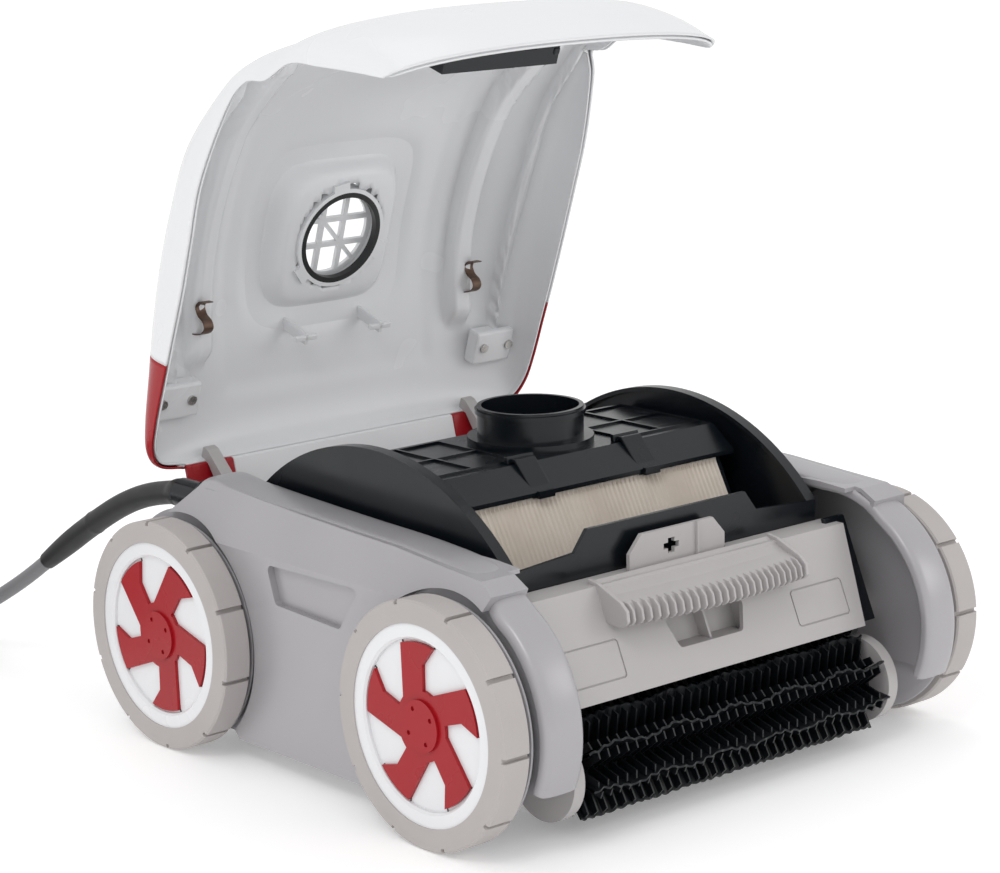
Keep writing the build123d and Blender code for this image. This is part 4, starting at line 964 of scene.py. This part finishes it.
# ---- crown bands of the side housings ----
crownBand = {
    "wheelY": 0.141,
    "wheelZ": 0.080,
    "archRadius": 0.0862,
    "ridge": [  # y, z, inner x, shoulder x, mm: from the rear chamfer to the front of the ridge
        (166, 156, 152, 184),
        (150, 170, 151, 181),
        (130, 186.3, 151, 180),
        (100, 184.6, 151, 180),
        (69, 182.9, 151, 180),
        (25, 180.9, 151, 180),
        (-28, 178.9, 151, 180),
        (-79, 177.3, 151, 180.5),
        (-127, 174.0, 152, 181),
        (-152, 171.0, 157.5, 182),
        (-171, 163.6, 160.5, 184),
    ],
    "archX": (160.5, 187.8),
    "archEnd": 204.0,  # degrees round the front wheel at which the fender ends
    "archStart": 120.0,
    "archSteps": 9,
    "wall": 0.0012,  # metres
    "steps": 150,
    # across the band: share from inner edge to shoulder, then past it in mm; and how far it drops, mm
    "inner": [(0.0, -7.0), (0.0, -2.6), (0.03, -1.1), (0.12, -0.2), (0.5, 0.1), (0.82, -0.4)],
    "outer": [(-1.2, -0.9), (0.4, -2.2), (1.2, -4.2), (2.0, -7.6)],
}


def makeCrownBands(look):
    # the ridge runs level over the body, then round the front wheel as a fender; at each step the profile
    # stands square to the path in side view
    angles = np.radians(np.linspace(look["archStart"], look["archEnd"], look["archSteps"]))
    arch = np.column_stack(
        [
            (-look["wheelY"] + look["archRadius"] * np.cos(angles)) / mm,
            (look["wheelZ"] + look["archRadius"] * np.sin(angles)) / mm,
            np.full(len(angles), look["archX"][0]),
            np.full(len(angles), look["archX"][1]),
        ]
    )
    path = throughRows(np.vstack([look["ridge"], arch]), look["steps"])
    along = np.gradient(path[:, :2], axis=0)
    along /= np.linalg.norm(along, axis=1)[:, None]
    outwards = np.column_stack([along[:, 1], -along[:, 0]])
    outwards *= np.sign(outwards[len(path) // 3, 1])
    inner, outer = np.array(look["inner"]), np.array(look["outer"])
    width = (path[:, 3] - path[:, 2])[:, None]
    x = np.concatenate([path[:, 2:3] + width * inner[None, :, 0], path[:, 3:4] + outer[None, :, 0]], axis=1)
    drop = np.concatenate([inner[:, 1], outer[:, 1]])[None, :, None]
    yz = path[:, None, :2] + outwards[:, None, :] * drop
    grid = np.concatenate([x[..., None], yz], axis=2) * mm
    for side, sign in sides.items():
        points = grid * np.array([sign, 1, 1])
        faces = gridFaces(grid.shape[0], grid.shape[1])
        if sign < 0:
            faces = faces[:, ::-1]
        piece = newPiece(f"{side}_crown_band", points.reshape(-1, 3), faces, "silver_grey_abs", "chassis")
        addSolidify(piece, look["wall"])
        smooth = piece.modifiers.new("smooth", "SUBSURF")
        smooth.levels = smooth.render_levels = 1


makeCrownBands(crownBand)
print("crown bands done")


# ---- carrying handle ----
handle = {
    "half": 82.0,
    "bulge": 8.0,
    "steps": 61,
    "ribs": 25,
    "ribWidth": 1.8,
    "ribInset": 4.5,
    "cheekOut": 2.6,
    "cheekIn": 0.4,
    # closed (y, z) profile in mm and the share of the bulge each point takes
    "tray": [
        (-150.5, 149.0, 0.0),
        (-158.0, 145.2, 0.1),
        (-166.0, 141.6, 0.5),
        (-174.0, 139.4, 0.9),
        (-177.0, 138.4, 1.0),
        (-179.0, 134.6, 1.0),
        (-179.8, 128.5, 1.0),
        (-178.6, 127.0, 1.0),
        (-177.4, 125.2, 1.0),
        (-175.6, 126.0, 1.0),
        (-175.4, 129.6, 1.0),
        (-174.6, 133.0, 0.9),
        (-166.0, 137.2, 0.5),
        (-150.5, 142.5, 0.0),
    ],
    "rib": [
        (-175.0, 139.6, 0.95),
        (-180.4, 139.0, 1.0),
        (-184.8, 135.0, 1.0),
        (-186.2, 128.5, 1.0),
        (-184.4, 126.0, 1.0),
        (-180.4, 123.6, 1.0),
        (-178.4, 124.8, 1.0),
        (-178.6, 130.0, 1.0),
    ],
    "gusset": [
        (-150.0, 150.5),
        (-159.0, 149.0),
        (-170.0, 144.5),
        (-180.0, 140.5),
        (-186.0, 135.5),
        (-187.0, 128.5),
        (-185.0, 126.0),
        (-180.0, 123.5),
        (-171.0, 124.0),
        (-160.0, 128.0),
        (-150.0, 141.0),
    ],
}


def bulged(look, profile, x):
    # the bulge is widest in the middle: (1 - (x/half)^2) of it, taken by each point's share
    profile = np.asarray(profile, float)
    bulge = look["bulge"] * (1 - (x / look["half"]) ** 2)
    y = profile[None, :, 0] - bulge * profile[None, :, 2]
    return np.stack(np.broadcast_arrays(x, y, profile[None, :, 1]), axis=-1) * mm


def makeHandle(look):
    x = np.linspace(-look["half"], look["half"], look["steps"])[:, None]
    grid = bulged(look, look["tray"], x)
    rows, n = grid.shape[:2]
    caps = [list(range(n))[::-1], list(range((rows - 1) * n, rows * n))]
    parts = [(grid.reshape(-1, 3), gridFaces(rows, n, closeColumns=True).tolist(), caps)]
    centres = np.linspace(-look["half"] + look["ribInset"], look["half"] - look["ribInset"], look["ribs"])
    for middle in centres:
        width = look["ribWidth"] / 2
        pair = bulged(look, look["rib"], np.array([[middle - width], [middle + width]]))
        n = pair.shape[1]
        caps = [list(range(n))[::-1], list(range(n, 2 * n))]
        parts.append((pair.reshape(-1, 3), gridFaces(2, n, closeColumns=True).tolist(), caps))
    cheeks = (
        (-look["half"] - look["cheekOut"], -look["half"] + look["cheekIn"]),
        (look["half"] - look["cheekIn"], look["half"] + look["cheekOut"]),
    )
    for low, high in cheeks:
        points, quads, caps = slabAcross(np.array(look["gusset"]) * mm, low * mm, high * mm)
        parts.append((points, quads, caps))
    piece = newSolid("ribbed_carry_handle", parts, "warm_grey_abs", "chassis", 0.0006)
    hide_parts("carry_handle")


makeHandle(handle)


# ---- dark fillers between the front panel's ends and the fenders ----
filler = {
    "outline": [(-146.0, 150.0), (-150.0, 150.0), (-180.0, 81.0), (-177.0, 81.0)],
    "low": 139.0,
    "high": 159.5,
}
for side, sign in sides.items():
    low, high = sorted((sign * filler["low"], sign * filler["high"]))
    slab = slabAcross(np.array(filler["outline"]) * mm, low * mm, high * mm)
    newSolid(f"{side}_corner_filler", [slab], "black_pp", "chassis", 0.0008)


# ---- hold-down clips: bent leaf springs ----
springClip = {
    "path": [
        (53, 231),
        (51, 221),
        (47, 214),
        (42, 211.5),
        (38, 214.5),
        (36, 221),
        (31, 225),
        (26, 222),
        (24, 216),
    ],
    "thickness": 0.8,
    "steps": 40,
    "x": 126.0,
    "halfWidth": 4.2,
    "bevel": 0.0003,  # metres
}


def makeSpringClips(look):
    # the leaf is a strip of even thickness along its path, square to it in side view
    path = throughRows(look["path"], look["steps"])
    along = np.gradient(path, axis=0)
    along /= np.linalg.norm(along, axis=1)[:, None]
    square = np.column_stack([-along[:, 1], along[:, 0]]) * look["thickness"] / 2
    ring = np.stack([path + square, path - square], axis=1)
    for side, sign in sides.items():
        x = sign * look["x"] + look["halfWidth"] * np.array([-1, 1])
        rows = np.stack(
            [
                np.column_stack([np.full(len(path), x[0]), ring[:, 0]]),
                np.column_stack([np.full(len(path), x[1]), ring[:, 0]]),
                np.column_stack([np.full(len(path), x[1]), ring[:, 1]]),
                np.column_stack([np.full(len(path), x[0]), ring[:, 1]]),
            ],
            axis=1,
        )
        n = len(path)
        faces = gridFaces(n, 4, closeColumns=True).tolist()
        caps = [[0, 1, 2, 3][::-1], [4 * n - 4, 4 * n - 3, 4 * n - 2, 4 * n - 1]]
        leaf = (openHood(rows.reshape(-1, 3) * mm), faces, caps)
        piece = newSolid(f"{side}_spring_clip", [leaf], "brown_spring_steel", "hood", look["bevel"])
        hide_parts(f"{side}_hold_down_clip")


makeSpringClips(springClip)


# ---- painted shade: thin black slabs at the outer corners of the wheel stars' blades ----
bladeCornerShade = {
    "tip": 0.0522,
    "inner": 0.0526,
    "outer": 0.0562,
    "halfWidth": 0.0004,
    "height": 0.0006,
    "depth": 0.0046,  # in from the wheel's outer face
    "cornerGap": 15,  # degrees
}


def makeBladeCornerShade(look):
    # the blades' outer corners are read from each star's mesh: where the turn jumps by more than the gap
    for corner in corners:
        star = nodes[f"{corner}_wheel_star"]
        points = np.array([star.matrix_world @ vertex.co for vertex in star.data.vertices])
        low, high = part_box(f"{corner}_tyre")
        side = 1.0 if low.x > 0 else -1.0
        middleY, middleZ = (low.y + high.y) / 2, (low.z + high.z) / 2
        y, z = points[:, 1] - middleY, points[:, 2] - middleZ
        turns = np.sort(np.degrees(np.arctan2(z, y))[np.hypot(y, z) > look["tip"]])
        gaps = np.where(np.diff(turns) > look["cornerGap"])[0]
        ends = np.concatenate([turns[gaps], turns[gaps + 1], [turns[0], turns[-1]]])
        faceX = (high.x if side > 0 else low.x) - side * look["depth"]
        parts = []
        for turn in np.radians(np.unique(np.round(ends, 1))):
            out = np.array([math.cos(turn), math.sin(turn)])
            across = np.array([-out[1], out[0]]) * look["halfWidth"]
            outline = [
                out * look["inner"] - across,
                out * look["outer"] - across,
                out * look["outer"] + across,
                out * look["inner"] + across,
            ]
            outline = np.array(outline) + (middleY, middleZ)
            xs = sorted((faceX, faceX + side * look["height"]))
            parts.append(slabAcross(outline, *xs))
        # the black rubber paints the shade at the blades' corners as thin dark slabs on the disc
        newSolid(f"{corner}_blade_corner_shade", parts, "black_rubber", f"{corner}_wheel")


makeBladeCornerShade(bladeCornerShade)
print("handle, clips and slots done")


# ---- small moulded details, each a set of slabs: (y, z) outline and x ranges, all in mm ----
slabs = {
    # name: slot, body, bevel, whether it is drawn with the hood closed, slabs
    "hood_latch_bar": (
        "black_pp",
        "hood",
        0.0008,
        True,
        [
            ([(-226, 104), (-226, 113), (-200, 113), (-200, 105)], [(-51, -34.5), (34.5, 51)]),
            ([(-198, 103), (-198, 118), (-188, 117), (-188, 106)], [(-34, -31), (31, 34), (-9, 9)]),
            ([(-198, 112), (-198, 118), (-192, 118), (-192, 112)], [(-34, 34)]),
            ([(-199, 101), (-199, 115), (-194, 115), (-194, 101)], [(-52, -47), (47, 52)]),
            ([(-200, 104), (-200, 113), (-194, 113), (-194, 104)], [(-50, -33), (33, 50)]),
        ],
    ),
    "panel_pocket_liner": (
        "warm_grey_abs",
        "chassis",
        0.0004,
        False,
        [
            ([(-155, 122), (-167, 95), (-165, 95), (-153, 122)], [(-39, 39)]),
            ([(-165, 122), (-177, 95), (-166, 95), (-154, 122)], [(-39, -36.6), (36.6, 39), (1.5, 3.5)]),
            ([(-166, 121.4), (-167, 119.4), (-155, 119.4), (-154, 121.4)], [(-39, 39)]),
            ([(-176, 98.6), (-177, 96.6), (-166, 96.6), (-165, 98.6)], [(-31, 31)]),
        ],
    ),
    "lid_snap_clips": (
        "black_pp",
        "filter_cassette",
        0.0006,
        False,
        [
            (
                [
                    (-47, 206),
                    (-47, 208.6),
                    (-52, 208.8),
                    (-69, 190),
                    (-70.5, 185),
                    (-69, 184.6),
                    (-67.6, 189),
                    (-51, 206),
                ],
                [(-58, -40), (40, 58)],
            ),
            ([(-44, 205), (-44, 210), (-47, 210), (-48, 205)], [(-61, -37), (37, 61)]),
        ],
    ),
}


def makeSlabs(looks):
    for name, (slot, body, bevel, closed, groups) in looks.items():
        parts = []
        for outline, spans in groups:
            for low, high in spans:
                points, quads, caps = slabAcross(np.array(outline, float) * mm, low * mm, high * mm)
                parts.append((openHood(points) if closed else points, quads, caps))
        newSolid(name, parts, slot, body, bevel)


makeSlabs(slabs)
print("slabs:", len(slabs))


# ---- floor and light ----
studio = {
    "floorColour": "#f4f4f4",
    "floorHalf": 60.0,
    "floorDrop": 0.0003,
    "world": 0.9,
    "floorGlow": 0.22,
    "lamps": [
        # place, size, watts: a broad key from the upper left, a fill from the right, a top light
        ((-1.9, -1.0, 2.4), 0.9, 13.0),
        ((2.0, -2.2, 1.2), 1.2, 7.0),
        ((0.4, 0.8, 3.0), 1.6, 4.0),
    ],
}


def makeStudio(look):
    half = look["floorHalf"]
    mesh = bpy.data.meshes.new("floor")
    z = cadLow.z - look["floorDrop"]
    square = [(-half, -half, z), (half, -half, z), (half, half, z), (-half, half, z)]
    mesh.from_pydata(square, [], [(0, 1, 2, 3)])
    floor = bpy.data.objects.new("floor", mesh)
    bpy.context.scene.collection.objects.link(floor)
    material, tree, shader = newMaterial("paleFloor", {"shader": {"Roughness": 0.7}})
    shader.inputs["Base Color"].default_value = linear(look["floorColour"])
    shader.inputs["Emission Color"].default_value = (1.0, 1.0, 1.0, 1.0)
    shader.inputs["Emission Strength"].default_value = look["floorGlow"]
    mesh.materials.append(material)
    world = bpy.data.worlds.new("studio")
    world.use_nodes = True
    world.node_tree.nodes["Background"].inputs["Color"].default_value = (1.0, 1.0, 1.0, 1.0)
    world.node_tree.nodes["Background"].inputs["Strength"].default_value = look["world"]
    bpy.context.scene.world = world
    bpy.context.scene.view_settings.view_transform = "Standard"
    target = Vector((0.0, 0.0, 0.2))
    for i, (place, size, watts) in enumerate(look["lamps"]):
        data = bpy.data.lights.new(f"lamp{i}", "AREA")
        data.shape = "DISK"
        data.size = size
        data.energy = watts
        lamp = bpy.data.objects.new(f"lamp{i}", data)
        lamp.location = place
        lamp.rotation_euler = (target - Vector(place)).to_track_quat("-Z", "Y").to_euler()
        bpy.context.scene.collection.objects.link(lamp)


makeStudio(studio)
print("studio ready")
